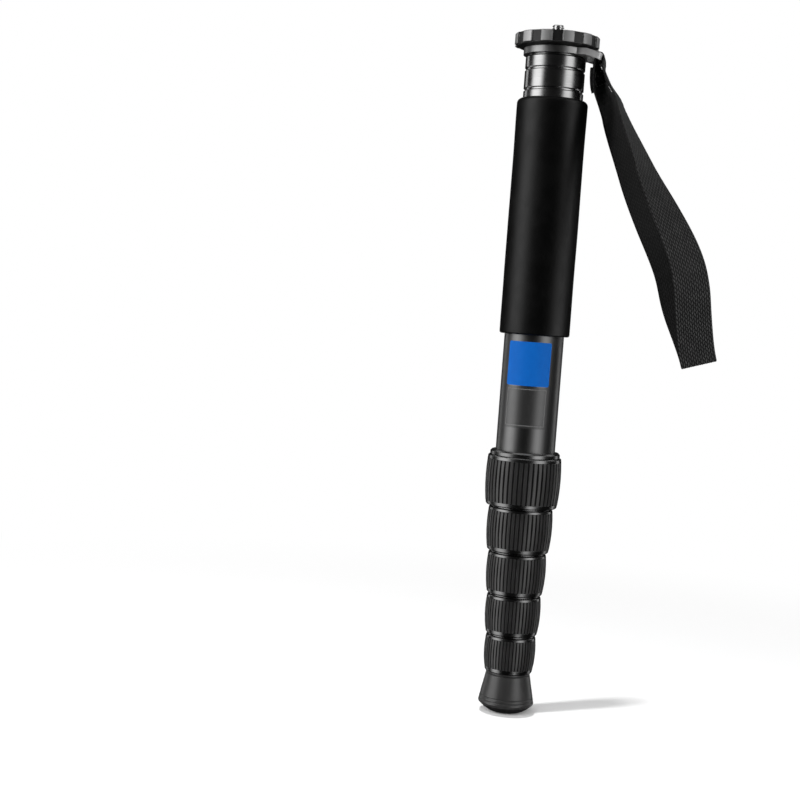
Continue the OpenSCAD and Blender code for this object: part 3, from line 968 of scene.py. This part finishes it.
@dataclass
class CameraPlatform:
    """The lobed platform with its ribbed rubber pad and threaded stud."""

    body: str = "leg_1"
    stud_radius: float = 3.175 * MM
    thread_pitch: float = 1.27 * MM
    thread_depth: float = 0.62 * MM
    flank_top: float = 1.25
    flank_slope: float = 3.2
    tip_bevel: float = 0.6 * MM
    flange_height: float = 1.6 * MM
    shank_radius: float = 4.75 * MM
    flange_bevel: float = 0.25 * MM
    thread_rings: int = 96
    thread_sharp_deg: float = 50.0
    steps: int = 72
    pad_inner_radius: float = 7.08 * MM
    pad_ribs: int = 8
    rib_depth: float = 0.3 * MM
    rib_points: int = 6

    def build(self) -> None:
        """Builds the stud and the pad, and dresses the platform."""
        dress_nodes(["platform"], PLATFORM_BLACK)
        stud = self.threaded_stud()
        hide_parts("camera_stud")
        settle(stud, self.body, STEEL)
        pad = self.ribbed_pad()
        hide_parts("platform_pad")
        settle(pad, self.body, PAD_RUBBER)

    def thread_radius(self, angle: float, height: float, length: float) -> float:
        """Radius of the stud's thread.

        Args:
            angle: Angle about the axis in radians.
            height: Height of the point above the pad.
            length: Length of the thread.

        Returns:
            The radius, which runs to the core at the lower end and is bevelled at the tip.
        """
        phase = (height / self.thread_pitch - angle / TURN) % 1.0
        flank = min(max(self.flank_top - self.flank_slope * abs(phase - 0.5), 0.0), 1.0)
        run_out = min(height / self.thread_pitch, 1.0)
        crest = self.stud_radius - self.thread_depth * (1 - flank * run_out)
        return min(crest, self.stud_radius - self.tip_bevel + length - height)

    def threaded_stud(self) -> bpy.types.Object:
        """Makes the stud with its shank, flange and helical thread.

        Returns:
            The stud.
        """
        low = bottom_of("camera_stud")
        top = top_of("camera_stud")
        flange_top = top_of("platform_pad")
        flange_low = flange_top - self.flange_height
        flange = radius_of("camera_stud")
        core = self.stud_radius - self.thread_depth
        plain = [
            (self.shank_radius, low),
            (self.shank_radius, flange_low),
            (flange, flange_low),
            (flange, flange_top - self.flange_bevel),
            (flange - self.flange_bevel, flange_top),
            (core, flange_top),
        ]
        rings = lathe(plain, self.steps)
        turns = [TURN * j / self.steps for j in range(self.steps)]
        length = top - flange_top
        for k in range(1, self.thread_rings + 1):
            height = length * k / self.thread_rings
            radii = [self.thread_radius(turn, height, length) for turn in turns]
            rings.append([polar(r, turn, flange_top + height) for r, turn in zip(radii, turns)])
        return skin("threaded_stud", rings, sharp_deg=self.thread_sharp_deg)

    def ribbed_pad(self) -> bpy.types.Object:
        """Makes the pad with ribs moulded round the stud.

        Returns:
            The pad.
        """
        low = bottom_of("platform_pad")
        top = top_of("platform_pad")
        outer = radius_of("platform_pad")
        span = outer - self.pad_inner_radius
        outline = [(self.pad_inner_radius, low), (outer, low)]
        for k in range(self.pad_ribs * self.rib_points + 1):
            share = k / (self.pad_ribs * self.rib_points)
            wave = 0.5 + 0.5 * math.cos(TURN * share * self.pad_ribs)
            outline.append((outer - span * share, top - self.rib_depth * wave ** 2))
        return skin("ribbed_pad", lathe(outline, self.steps), True)


@dataclass
class Neck:
    """The glossy neck with the swivelling strap ring above it."""

    def build(self) -> None:
        """Dresses the neck's solids and the strap ring."""
        dress_nodes(["neck_cap", "neck_body"], NECK_GLOSS)
        dress_nodes(["strap_ring"], LUG_GREY)


@dataclass
class FoamGrip:
    """The foam sleeve of the grip, a little uneven as pressed-on foam is."""

    body: str = "leg_1"
    inner_gap: float = 0.04 * MM
    top_round: float = 2.6 * MM
    end_round: float = 1.2 * MM
    unevenness: float = 0.16 * MM
    wave_length: float = 26 * MM
    side_rings: int = 72
    round_steps: int = 8
    steps: int = 128
    sharp_deg: float = 60.0

    @cached_property
    def bore(self) -> float:
        """Radius of the sleeve's bore."""
        return radius_of("tube_1") + self.inner_gap

    def outline(self) -> list[Span]:
        """Works out the sleeve's outline.

        Returns:
            Points of (radius, height), from the bore's lower end outwards and up.
        """
        low = bottom_of("foam_grip")
        top = top_of("foam_grip")
        outer = radius_of("foam_grip")
        points = [(self.bore, low)]
        for angle in quarter(self.round_steps)[:-1]:
            points.append((
                outer - self.end_round * (1 - math.sin(angle)),
                low + self.end_round * (1 - math.cos(angle)),
            ))
        straight = top - low - self.end_round - self.top_round
        for k in range(self.side_rings + 1):
            points.append((outer, low + self.end_round + straight * k / self.side_rings))
        for angle in quarter(self.round_steps)[1:]:
            points.append((
                outer - self.top_round * (1 - math.cos(angle)),
                top - self.top_round * (1 - math.sin(angle)),
            ))
        points.append((self.bore, top))
        return points

    def build(self) -> None:
        rings = []
        for radius, height in self.outline():
            ring = circle(radius, height, self.steps)
            if radius > self.bore:
                for point in ring:
                    dent = noise.noise(point / self.wave_length) - 0.5
                    share = 1 + self.unevenness * dent / radius
                    point.x *= share
                    point.y *= share
            rings.append(ring)
        sleeve = skin("foam_sleeve", rings, True, sharp_deg=self.sharp_deg)
        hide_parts("foam_grip")
        settle(sleeve, self.body, GRIP_FOAM)


@dataclass
class TubeLabels:
    """The plain blue label on the top tube with a bare grey panel in a thin frame below it."""

    body: str = "leg_1"
    film: float = 0.09 * MM
    film_back: float = 0.01 * MM
    corner: float = 1.0 * MM
    left_deg: float = -51.0
    right_deg: float = 37.0
    blue_low: float = 178.6 * MM
    blue_high: float = 202.0 * MM
    panel_low: float = 156.0 * MM
    panel_high: float = 178.2 * MM
    frame_width: float = 0.45 * MM
    frame_inset: float = 1.2 * MM
    frame_film: float = 0.05 * MM
    frame_corner: float = 0.15 * MM
    columns: int = 48
    corner_rows: int = 6
    rows: int = 24

    def patch(
        self,
        name: str,
        angles_deg: Span,
        heights: Span,
        film: float,
        corner: float,
    ) -> bpy.types.Object:
        """Makes a film with round corners that lies on the top tube.

        Args:
            name: Name of the new object.
            angles_deg: Angles of its left and right edges from the front, to the right.
            heights: Heights of its lower and upper edges.
            film: How far its face stands off the tube.
            corner: Radius of its corners.

        Returns:
            The film, closed on its sides and back.
        """
        radius = radius_of("tube_1")
        low, high = heights
        middle = math.radians(sum(angles_deg) / 2)
        half = math.radians(angles_deg[1] - angles_deg[0]) / 2
        turns = quarter(self.corner_rows)
        insets = [(corner * (1 - math.cos(a)), corner * (1 - math.sin(a))) for a in turns]
        levels = [(low + rise, draw) for rise, draw in insets]
        for k in range(1, self.rows):
            levels.append((low + corner + (high - low - 2 * corner) * k / self.rows, 0.0))
        levels += [(high - rise, draw) for rise, draw in reversed(insets)]
        rings = []
        for height, draw in levels:
            reach = half - draw / radius
            front = []
            back = []
            for k in range(self.columns + 1):
                angle = middle + reach * (2 * k / self.columns - 1)
                way = facing(angle)
                front.append(way * (radius + film) + Vector((0, 0, height)))
                back.append(way * (radius + self.film_back) + Vector((0, 0, height)))
            rings.append(front + back[::-1])
        return skin(name, rings)

    def build(self) -> None:
        """Builds the label, the panel and the panel's frame."""
        edges = (self.left_deg, self.right_deg)
        films = [
            ("label_blue", (self.blue_low, self.blue_high), LABEL_BLUE),
            ("label_panel", (self.panel_low, self.panel_high), LABEL_GREY),
        ]
        for name, heights, finish in films:
            settle(self.patch(name, edges, heights, self.film, self.corner), self.body, finish)
        raised = self.film + self.frame_film
        for name, angles, heights in self.frame_strips():
            strip = self.patch(name, angles, heights, raised, self.frame_corner)
            settle(strip, self.body, LABEL_LINE)

    def frame_strips(self) -> list[tuple[str, Span, Span]]:
        """Lays out the four thin lines of the panel's frame.

        Returns:
            For each line its name, its edges' angles and its edges' heights.
        """
        per_metre = 360 / (TURN * radius_of("tube_1"))
        inset = self.frame_inset * per_metre
        wide = self.frame_width * per_metre
        left = self.left_deg + inset
        right = self.right_deg - inset
        low = self.panel_low + self.frame_inset
        high = self.panel_high - self.frame_inset
        return [
            ("panel_line_left", (left, left + wide), (low, high)),
            ("panel_line_right", (right - wide, right), (low, high)),
            ("panel_line_low", (left, right), (low, low + self.frame_width)),
            ("panel_line_high", (left, right), (high - self.frame_width, high)),
        ]


@dataclass
class TwistLock:
    """One twist lock: a ferrule on its tube, and a collar with a ribbed sleeve that turns on it."""

    number: int

    def build(self) -> None:
        """Dresses the lock's solids."""
        dress_nodes([f"ferrule_{self.number}", f"collar_{self.number}"], GLOSS_BLACK)
        dress_nodes([f"rib_sleeve_{self.number}"], LOCK_RUBBER)
        dress_nodes([f"collet_{self.number}"], BUSH_PLASTIC)


@dataclass
class Tubes:
    """The six nested tubes with their guide bushes."""

    def build(self) -> None:
        """Dresses the tubes and the bushes."""
        dress_nodes([f"tube_{i}" for i in range(1, TUBES + 1)], TUBE_GREY)
        dress_nodes([f"bush_{i}" for i in range(2, TUBES + 1)], BUSH_PLASTIC)


@dataclass
class Foot:
    """The flared foot with its sole, screw and plug."""

    def build(self) -> None:
        """Dresses the foot's solids."""
        dress_nodes(["foot_cone"], FOOT_GREY)
        dress_nodes(["foot_sole"], SOLE_RUBBER)
        dress_nodes(["foot_screw"], STEEL)
        dress_nodes(["foot_plug"], BARE_ALUMINIUM)


def smooth(t: float) -> float:
    """A smooth step of t from 0 to 1."""
    return t * t * (3 - 2 * t)


def let_go(x: float) -> float:
    """Falls smoothly from 1 to 0 between x = 1 and x = 2."""
    return 1 - smooth(min(max(x - 1, 0.0), 1.0))


@dataclass
class Station:
    """A place along the webbing, with the directions of its width and of its outer face."""

    middle: Vector
    across: Vector
    outer: Vector = field(default_factory=Vector)
    along: float = 0.0
    sewn: bool = False


@dataclass
class WristStrap:
    """The webbing loop hung on the ear's bar, with its sewn tail."""

    body: str = "wrist_strap"
    swing_joint: str = "strap_swing"
    bar_radius: float = 1.3 * MM
    bar_gap: float = 0.25 * MM
    width: float = 19 * MM
    thickness: float = 1.3 * MM
    wrist_half: float = 26 * MM
    fold_radius: float = 1.6 * MM
    run_offset: float = 2.4 * MM
    sewn_from: float = 0.02
    sewn_to: float = 0.085
    sewn_bulge: float = 2 * MM
    run_spread: float = 2 * MM
    spread_to: float = 0.25
    seam_draw: float = 1.8 * MM
    seam_from: float = 0.035
    seam_to: float = 0.07
    ear_until: float = 1 / 3
    opened_at: float = 0.25
    closed_from: float = 0.75
    spread_from: float = 0.125
    front_twist: float = 1.5
    back_twist: float = 0.65
    side_rise: float = 2.0
    side_fall: float = 1.5
    slope_step: float = 0.005
    route: tuple[Span, ...] = (
        (0, 0),
        (9.4 * MM, -28.3 * MM),
        (23.9 * MM, -58.5 * MM),
        (38.1 * MM, -82.6 * MM),
        (50.3 * MM, -106.8 * MM),
        (56.9 * MM, -130.9 * MM),
        (64.6 * MM, -155.6 * MM),
    )
    run_steps: int = 330
    turn_steps: int = 16
    cords: int = 15
    cord_points: int = 4
    edge_points: int = 4
    pick: float = 2.7 * MM
    relief: float = 0.2 * MM
    face_shift: float = 2.0
    tail_gap: float = 0.04 * MM
    stitch: float = 2.3 * MM
    stitch_gap: float = 0.7 * MM
    stitch_radius: float = 0.26 * MM
    stitch_margin: float = 2.2 * MM
    stitch_cut: float = 0.12
    stitch_rise: float = 0.35
    stitch_rings: int = 7
    stitch_sides: int = 8
    sharp_deg: float = 60.0

    @cached_property
    def swing(self) -> Mapping[str, Any]:
        """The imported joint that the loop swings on, about the ear's bar."""
        return next(joint for joint in frame["joints"] if joint["name"] == self.swing_joint)

    @cached_property
    def bar(self) -> Vector:
        """The middle of the ear's bar."""
        return Vector(self.swing["pos_m"])

    @cached_property
    def ear_turn(self) -> float:
        """The ear's direction in radians from +X, square to its bar."""
        x, y, _ = self.swing["axis"]
        return math.atan2(x, -y)

    @cached_property
    def wrap(self) -> float:
        """Distance of the webbing's middle from the middle of the bar that it turns over."""
        return self.bar_radius + self.bar_gap + self.thickness / 2

    def turned(self, way: Vector, share: float) -> Vector:
        """A vector turned about the leg's axis by a share of the ear's turn."""
        return Matrix.Rotation(self.ear_turn * share, 3, "Z") @ way

    def curve(self, t: float) -> Vector:
        """A point of the loop's middle line.

        Args:
            t: Share of the way from the bar to the fold.

        Returns:
            The point, from the bar.
        """
        points = [Vector((x, 0, z)) for x, z in self.route]
        last = len(points) - 1
        k = min(int(t * last), last - 1)
        f = t * last - k
        a = points[k - 1] if k > 0 else 2 * points[0] - points[1]
        b = points[k]
        c = points[k + 1]
        d = points[k + 2] if k + 2 <= last else 2 * points[last] - points[last - 1]
        return b + f / 2 * (c - a + f * (2 * a - 5 * b + 4 * c - d + f * (3 * (b - c) + d - a)))

    def heading(self, t: float) -> tuple[Vector, Vector, Vector]:
        """Directions at a point of the middle line.

        Args:
            t: Share of the way from the bar to the fold.

        Returns:
            The directions along the line, outwards, and sideways, which is the bar's own at the start.
        """
        before = self.curve(max(t - self.slope_step, 0.0))
        along = (self.curve(min(t + self.slope_step, 1.0)) - before).normalized()
        share = 1 - smooth(min(t / self.ear_until, 1.0))
        out = self.turned(Vector((-along.z, 0, along.x)), share)
        return along, out, self.turned(Vector((0, 1, 0)), share)

    def outward(self, t: float, run: Run) -> float:
        """How far a run lies outwards of the middle line.

        Args:
            t: Share of the way from the bar to the fold.
            run: The run.

        Returns:
            The distance, negative where it lies inwards.
        """
        opening = smooth(min(t / self.opened_at, 1.0))
        closing = smooth(max((t - self.closed_from) / (1 - self.closed_from), 0.0))
        out = (self.wrap + (self.run_offset - self.wrap) * opening) * (1 - closing)
        spread = self.run_spread * smooth(min(t / self.spread_from, 1.0)) * let_go(t / self.spread_to)
        if run is Run.FRONT:
            drawn = self.seam_draw * smooth(min(t / self.seam_from, 1.0)) * let_go(t / self.seam_to)
            return spread + out - drawn
        bulge = self.sewn_bulge * smooth(min(t / self.sewn_to, 1.0)) * let_go(t / self.sewn_to)
        return spread - out - bulge

    def sideways(self, t: float) -> float:
        """How far a run lies to its side of the middle line.

        Args:
            t: Share of the way from the bar to the fold.

        Returns:
            The distance, which is largest between the bar and the fold.
        """
        peak = self.side_rise / (self.side_rise + self.side_fall)
        bell = (t / peak) ** self.side_rise * ((1 - t) / (1 - peak)) ** self.side_fall
        return self.fold_radius * smooth(t) + (self.wrist_half - self.fold_radius) * bell

    def run_station(self, t: float, run: Run) -> Station:
        """A station of one run.

        Args:
            t: Share of the way from the bar to the fold.
            run: The run.

        Returns:
            The station. The webbing lies across the ear at the bar and faces the front at the fold.
        """
        _, out, side = self.heading(t)
        middle = self.bar + self.curve(t)
        middle += run.value * self.sideways(t) * Vector((0, -1, 0)) + self.outward(t, run) * out
        power = self.front_twist if run is Run.FRONT else self.back_twist
        turned = math.pi / 2 * math.sin(math.pi / 2 * t) ** power
        across = math.cos(turned) * side + math.sin(turned) * out
        sewn = run is Run.BACK and self.sewn_from < t < self.sewn_to
        return Station(middle, across, sewn=sewn)

    def wrap_station(self, angle: float) -> Station:
        """A station of the turn over the bar.

        Args:
            angle: Its angle in radians, from the outer side.

        Returns:
            The station.
        """
        along, out, side = self.heading(0.0)
        turn = math.cos(angle) * out - math.sin(angle) * self.turned(along, 1.0)
        return Station(self.bar + self.wrap * turn, side)

    def fold_station(self, angle: float) -> Station:
        """A station of the fold at the loop's lower end.

        Args:
            angle: Its angle in radians, from the front.

        Returns:
            The station.
        """
        along, out, _ = self.heading(1.0)
        turn = math.cos(angle) * Vector((0, -1, 0)) + math.sin(angle) * along
        return Station(self.bar + self.curve(1.0) + self.fold_radius * turn, out)

    def stations(self) -> list[Station]:
        """Works out the whole loop.

        Returns:
            Stations over the bar, down the front run, round the fold and up the back run, with their
            directions and distances along the webbing.
        """
        turns = range(self.turn_steps + 1)
        runs = range(1, self.run_steps)
        made = [self.wrap_station(math.pi * (1 - k / self.turn_steps)) for k in turns]
        made += [self.run_station(k / self.run_steps, Run.FRONT) for k in runs]
        made += [self.fold_station(math.pi * k / self.turn_steps) for k in turns]
        made += [self.run_station(1 - k / self.run_steps, Run.BACK) for k in runs]
        count = len(made)
        for k, station in enumerate(made):
            along = (made[(k + 1) % count].middle - made[k - 1].middle).normalized()
            raw = station.across
            station.across = (raw - raw.dot(along) * along).normalized()
            station.outer = along.cross(station.across)
            if k > 0:
                station.along = made[k - 1].along + (station.middle - made[k - 1].middle).length
        return made

    def section(self) -> list[Span]:
        """Works out the webbing's cross-section without its weave.

        Returns:
            Points of (across, side): the distance across the webbing from its middle, and 1 on the outer
            face, -1 on the inner one and between them round the edges.
        """
        reach = self.width / 2 - self.thickness / 2
        count = self.cords * self.cord_points
        face = [reach * (2 * k / count - 1) for k in range(count + 1)]
        turns = [math.pi * k / (self.edge_points + 1) for k in range(1, self.edge_points + 1)]
        edge = [(self.thickness / 2 * math.sin(a), math.cos(a)) for a in turns]
        points = [(u, 1.0) for u in face]
        points += [(reach + out, side) for out, side in edge]
        points += [(u, -1.0) for u in reversed(face)]
        points += [(-reach - out, -side) for out, side in edge]
        return points

    def ring(self, station: Station, weave: Weave, lift: float) -> list[Vector]:
        """The webbing's outline at a station.

        Args:
            station: The station.
            weave: Sizes of its weave.
            lift: How far it is moved to its outer side.

        Returns:
            The points.
        """
        points = []
        for across, side in self.section():
            sunk = 0.0
            if abs(side) == 1.0:
                sunk = weave.depth * (1 - weave.height(across + self.width / 2, station.along))
            out = lift + side * (self.thickness / 2 - sunk)
            points.append(station.middle + across * station.across + out * station.outer)
        return points

    def strip(
        self,
        name: str,
        stations: Sequence[Station],
        weave: Weave,
        lift: float,
        loop: bool,
    ) -> bpy.types.Object:
        """Makes a length of webbing.

        Args:
            name: Name of the new object.
            stations: Its stations.
            weave: Sizes of its weave.
            lift: How far it is moved to its outer side.
            loop: True where it closes on itself.

        Returns:
            The webbing, with a flat map in metres. The inner face lies face_shift widths beside the
            outer one.
        """
        across = []
        for u, side in self.section():
            # The shift puts the inner face where the webbing's finish paints shade on it.
            beside = self.face_shift if side < 0 else 0.0
            across.append(u + self.width * (0.5 + beside))
        along = [s.along for s in stations]
        if loop:
            along.append(along[-1] + (stations[0].middle - stations[-1].middle).length)
        rings = [self.ring(s, weave, lift) for s in stations]
        return skin(name, rings, loop, (across, along), self.sharp_deg)

    def stitch_lines(self, length: float) -> list[tuple[Vector, Vector]]:
        """Lays out a box of stitches with a cross in it.

        Args:
            length: Length of the sewn tail.

        Returns:
            Ends of each line of stitches as (across, along), from the middle of the tail.
        """
        x = self.width / 2 - self.stitch_margin
        y = length / 2 - self.stitch_margin
        corners = [Vector((-x, -y)), Vector((x, -y)), Vector((x, y)), Vector((-x, y))]
        lines = [(corners[k], corners[(k + 1) % 4]) for k in range(4)]
        return lines + [(corners[0], corners[2]), (corners[1], corners[3])]

    def stitches(self, tail: Sequence[Station]) -> list[bpy.types.Object]:
        """Makes the stitches on both faces of the sewn tail.

        Args:
            tail: Stations of the tail.

        Returns:
            One object for each face.
        """
        length = tail[-1].along - tail[0].along
        faces = {
            "stitches_tail": 1.5 * self.thickness + self.tail_gap - self.relief / 2,
            "stitches_loop": -self.thickness / 2 + self.relief / 2,
        }
        made = []
        for name, lift in faces.items():
            beads = []
            for first, last in self.stitch_lines(length):
                count = max(1, int((last - first).length / (self.stitch + self.stitch_gap)))
                for k in range(count):
                    middle = first.lerp(last, (k + 0.5) / count)
                    way = (last - first).normalized() * self.stitch / 2
                    beads.append((middle - way, middle + way))
            made.append(self.beads(name, beads, tail, lift))
        return made

    def beads(
        self,
        name: str,
        ends: Sequence[tuple[Vector, Vector]],
        tail: Sequence[Station],
        lift: float,
    ) -> bpy.types.Object:
        """Makes stitches as short arched threads.

        Args:
            name: Name of the new object.
            ends: Ends of each stitch as (across, along) from the middle of the tail.
            tail: Stations of the tail.
            lift: Distance of the face that they lie on from the webbing's middle.

        Returns:
            All the stitches as one object.
        """
        length = tail[-1].along - tail[0].along
        points = []
        faces = []
        for first, last in ends:
            faces += ring_faces(self.stitch_rings, self.stitch_sides, first=len(points))
            way = (last - first).normalized()
            for k in range(self.stitch_rings):
                share = k / (self.stitch_rings - 1)
                spot = first.lerp(last, share)
                far = (spot.y + length / 2) / length * (len(tail) - 1)
                station = tail[min(max(round(far), 0), len(tail) - 1)]
                heading = station.outer.cross(station.across)
                side = (way.y * station.across - way.x * heading).normalized()
                top = math.copysign(1, lift) * station.outer
                drift = (far - round(far)) * length / (len(tail) - 1)
                swell = math.sin(math.pi * (self.stitch_cut + (1 - 2 * self.stitch_cut) * share))
                radius = self.stitch_radius * swell
                middle = station.middle + spot.x * station.across - drift * heading
                middle += lift * station.outer + self.stitch_rise * radius * top
                for j in range(self.stitch_sides):
                    angle = TURN * j / self.stitch_sides
                    points.append(middle + radius * (math.cos(angle) * side + math.sin(angle) * top))
        return add_mesh(name, points, faces)

    def build(self) -> None:
        stations = self.stations()
        length = stations[-1].along + (stations[0].middle - stations[-1].middle).length
        picks = round(length / self.pick)
        weave = Weave(self.width, self.width / (self.cords + 1), length / picks, self.relief)
        finish = Webbing("finish_webbing", weave, grey(0.0015), grey(0.055))
        loop = self.strip("webbing_loop", stations, weave, 0.0, True)
        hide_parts("wrist_strap")
        settle(loop, self.body, finish)
        sewn = [s for s in stations if s.sewn]
        tail = self.strip("webbing_tail", sewn, weave, self.thickness + self.tail_gap, False)
        settle(tail, self.body, finish)
        rows = self.stitches(sewn)
        for row in rows:
            settle(row, self.body, STITCH_THREAD)


@dataclass
class Softbox:
    """A rectangular studio light that faces the leg's axis and fades towards its upright edges.

    Its azimuth is 0 towards the camera and grows to the right. Its elevation is 90 degrees overhead.
    Everything throws a shadow in its light, or only the solids that block it where it names some.
    """

    name: str
    azimuth_deg: float
    elevation_deg: float
    distance: float
    aim: float
    size: Span
    radiance: float
    falls_on: FallsOn
    fade: float = 0.0
    low_share: float = 1.0
    low_from: float = 0.5
    low_to: float = 0.3
    lean_deg: float = 0.0
    blocked_by: tuple[str, ...] = ()

    def build(self, receivers: Mapping[FallsOn, bpy.types.Collection]) -> None:
        """Adds the light.

        Args:
            receivers: Collections of what each kind of light falls on.
        """
        lamp = bpy.data.lights.new(self.name, "AREA")
        lamp.shape = "RECTANGLE"
        lamp.size, lamp.size_y = self.size
        lamp.energy = self.radiance * math.pi * self.size[0] * self.size[1]
        self.shade(Graph(lamp))
        made = add_object(self.name, lamp)
        rise = math.radians(self.elevation_deg)
        level = facing(math.radians(self.azimuth_deg)) * math.cos(rise)
        way = level + Vector((0, 0, math.sin(rise)))
        made.location = Vector((0, 0, self.aim)) + self.distance * way
        leaned = Quaternion((0, 0, 1), math.radians(self.lean_deg))
        made.rotation_euler = ((-way).to_track_quat("-Z", "Y") @ leaned).to_euler()
        made.visible_camera = False
        made.light_linking.receiver_collection = receivers[self.falls_on]
        if self.blocked_by:
            blockers = bpy.data.collections.new(self.name + "_blockers")
            for node in self.blocked_by:
                blockers.objects.link(frame["nodes"][node])
            made.light_linking.blocker_collection = blockers

    def shade(self, graph: Graph) -> None:
        """Fades the light out to its upright edges, and to a share of its strength below its middle.

        Args:
            graph: The light's nodes.
        """
        flat = graph.node("TexCoord", {}, {}, 2)
        across = graph.axis(flat, 0)
        upper = graph.axis(flat, 1).ramp(self.low_to, self.low_from)
        strength = self.low_share + (1 - self.low_share) * upper
        if self.fade > 0:
            strength = strength * across.ramp(0.0, self.fade) * (1 - across).ramp(0.0, self.fade)
        glow = graph.glow(graph.mix(strength, BLACK, WHITE))
        graph.node("OutputLight", {}, {"Surface": glow})


@dataclass
class Studio:
    """The floor, the white surroundings, the lights and the camera."""

    floor_half: float = 7.0
    dome_radius: float = 7.5
    dome_rows: int = 24
    dome_steps: int = 48
    ambient: float = 0.02
    eye: Triple = (0.0, -838.26 * MM, 213.76 * MM)
    yaw_deg: float = -4.758
    pitch_deg: float = -3.313
    roll_deg: float = 4.213
    focal_px: float = 1550.0
    picture_px: float = 800.0
    sensor_mm: float = 36.0
    clip_start: float = 0.01

    def build(self) -> None:
        """Adds the surroundings, the lights and the camera."""
        bpy.context.scene.view_settings.view_transform = "Standard"
        self.add_camera()
        self.add_surroundings()
        self.add_lights()

    def add_camera(self) -> None:
        """Adds the camera at the photograph's view."""
        yaw = math.radians(self.yaw_deg)
        pitch = math.radians(self.pitch_deg)
        roll = math.radians(self.roll_deg)
        ahead = Vector((
            math.sin(yaw) * math.cos(pitch),
            math.cos(yaw) * math.cos(pitch),
            math.sin(pitch),
        ))
        right = Vector((math.cos(yaw), -math.sin(yaw), 0))
        up = right.cross(ahead)
        rolled_right = math.cos(roll) * right + math.sin(roll) * up
        rolled_up = math.cos(roll) * up - math.sin(roll) * right
        camera = bpy.data.cameras.new("camera")
        camera.sensor_width = self.sensor_mm
        camera.lens = self.focal_px / self.picture_px * self.sensor_mm
        camera.clip_start = self.clip_start
        camera.clip_end = 4 * self.dome_radius
        made = add_object("camera", camera)
        turned = Matrix((rolled_right, rolled_up, -ahead)).transposed().to_4x4()
        made.matrix_world = Matrix.Translation(self.eye) @ turned
        bpy.context.scene.camera = made

    def add_surroundings(self) -> None:
        """Adds the floor, a white backdrop that only the camera sees, and a dim ambient light."""
        half = self.floor_half
        corners = [Vector((x * half, y * half, 0)) for x, y in ((-1, -1), (1, -1), (1, 1), (-1, 1))]
        floor = add_mesh("floor", corners, [(0, 1, 2, 3)])
        floor.visible_glossy = False
        dress(floor, PaleFloor("finish_floor"))
        rises = [math.pi * (k / self.dome_rows - 0.5) for k in range(1, self.dome_rows)]
        outline = [(self.dome_radius * math.cos(a), self.dome_radius * math.sin(a)) for a in rises]
        dome = skin("backdrop", lathe(outline, self.dome_steps))
        dress(dome, WhiteBackdrop("finish_backdrop"))
        dome.visible_diffuse = False
        dome.visible_glossy = False
        dome.visible_transmission = False
        dome.visible_shadow = False
        world = bpy.data.worlds.new("studio")
        world.use_nodes = True
        background = world.node_tree.nodes["Background"]
        background.inputs["Color"].default_value = WHITE
        background.inputs["Strength"].default_value = self.ambient
        bpy.context.scene.world = world

    def add_lights(self) -> None:
        """Adds large softboxes at the sides, narrow ones behind, one overhead and the floor's lights.

        The foam has softboxes of its own on the right and straight behind it.
        """
        receivers = {part: bpy.data.collections.new("lit_" + part.name.lower()) for part in FallsOn}
        special = {
            "floor": (FallsOn.FLOOR,),
            "foam_sleeve": (FallsOn.LEG, FallsOn.FOAM),
            "backdrop": (),
        }
        for piece in list(bpy.data.objects):
            if piece.type == "MESH":
                for part in special.get(piece.name, (FallsOn.LEG, FallsOn.HARD)):
                    receivers[part].objects.link(piece)
        boxes = [
            Softbox("light_left", -69, 0, 1.1, 0.5, (1.3, 2.6), 3.6, FallsOn.LEG, 0.35, 0.75),
            Softbox("light_right", 56, 0, 1.1, 0.5, (0.9, 2.8), 2.6, FallsOn.HARD, 0.35, lean_deg=-28),
            Softbox("foam_right", 80, 0, 1.1, 0.5, (1.0, 2.8), 2.9, FallsOn.FOAM, 0.35),
            Softbox("foam_back", 180, 0, 1.2, 0.5, (0.7, 2.6), 2.2, FallsOn.FOAM, 0.35),
            Softbox("light_back_left", -130, 0, 1.2, 0.5, (0.3, 2.6), 1.2, FallsOn.HARD),
            Softbox("light_back_right", 128, 0, 1.2, 0.5, (0.3, 2.6), 1.3, FallsOn.HARD),
            Softbox("light_top", 180, 80, 2.2, 0.3, (2.0, 2.0), 1.1, FallsOn.LEG),
            Softbox(
                "floor_top", 180, 88, 2.5, 0.0, (2.4, 2.4), 1.5, FallsOn.FLOOR,
                blocked_by=("tube_6",),
            ),
            Softbox(
                "floor_front", -15, 28, 2.0, 0.0, (2.0, 1.2), 5.4, FallsOn.FLOOR,
                blocked_by=("foot_sole",),
            ),
            Softbox(
                "floor_left", -55, 78, 2.0, 0.0, (0.05, 0.16), 875.0, FallsOn.FLOOR,
                blocked_by=("tube_6", "foot_cone", "foot_sole"),
            ),
        ]
        for box in boxes:
            box.build(receivers)


def main() -> None:
    """Builds the sub-assemblies in order, then the studio."""
    logging.basicConfig(level=logging.INFO, format="%(message)s")
    assemblies = [
        WristStrap(),
        CameraPlatform(),
        Neck(),
        FoamGrip(),
        TubeLabels(),
        Tubes(),
        *[TwistLock(number) for number in range(1, LOCKS + 1)],
        Foot(),
        Studio(),
    ]
    for assembly in assemblies:
        assembly.build()


if __name__ == "__main__":
    main()
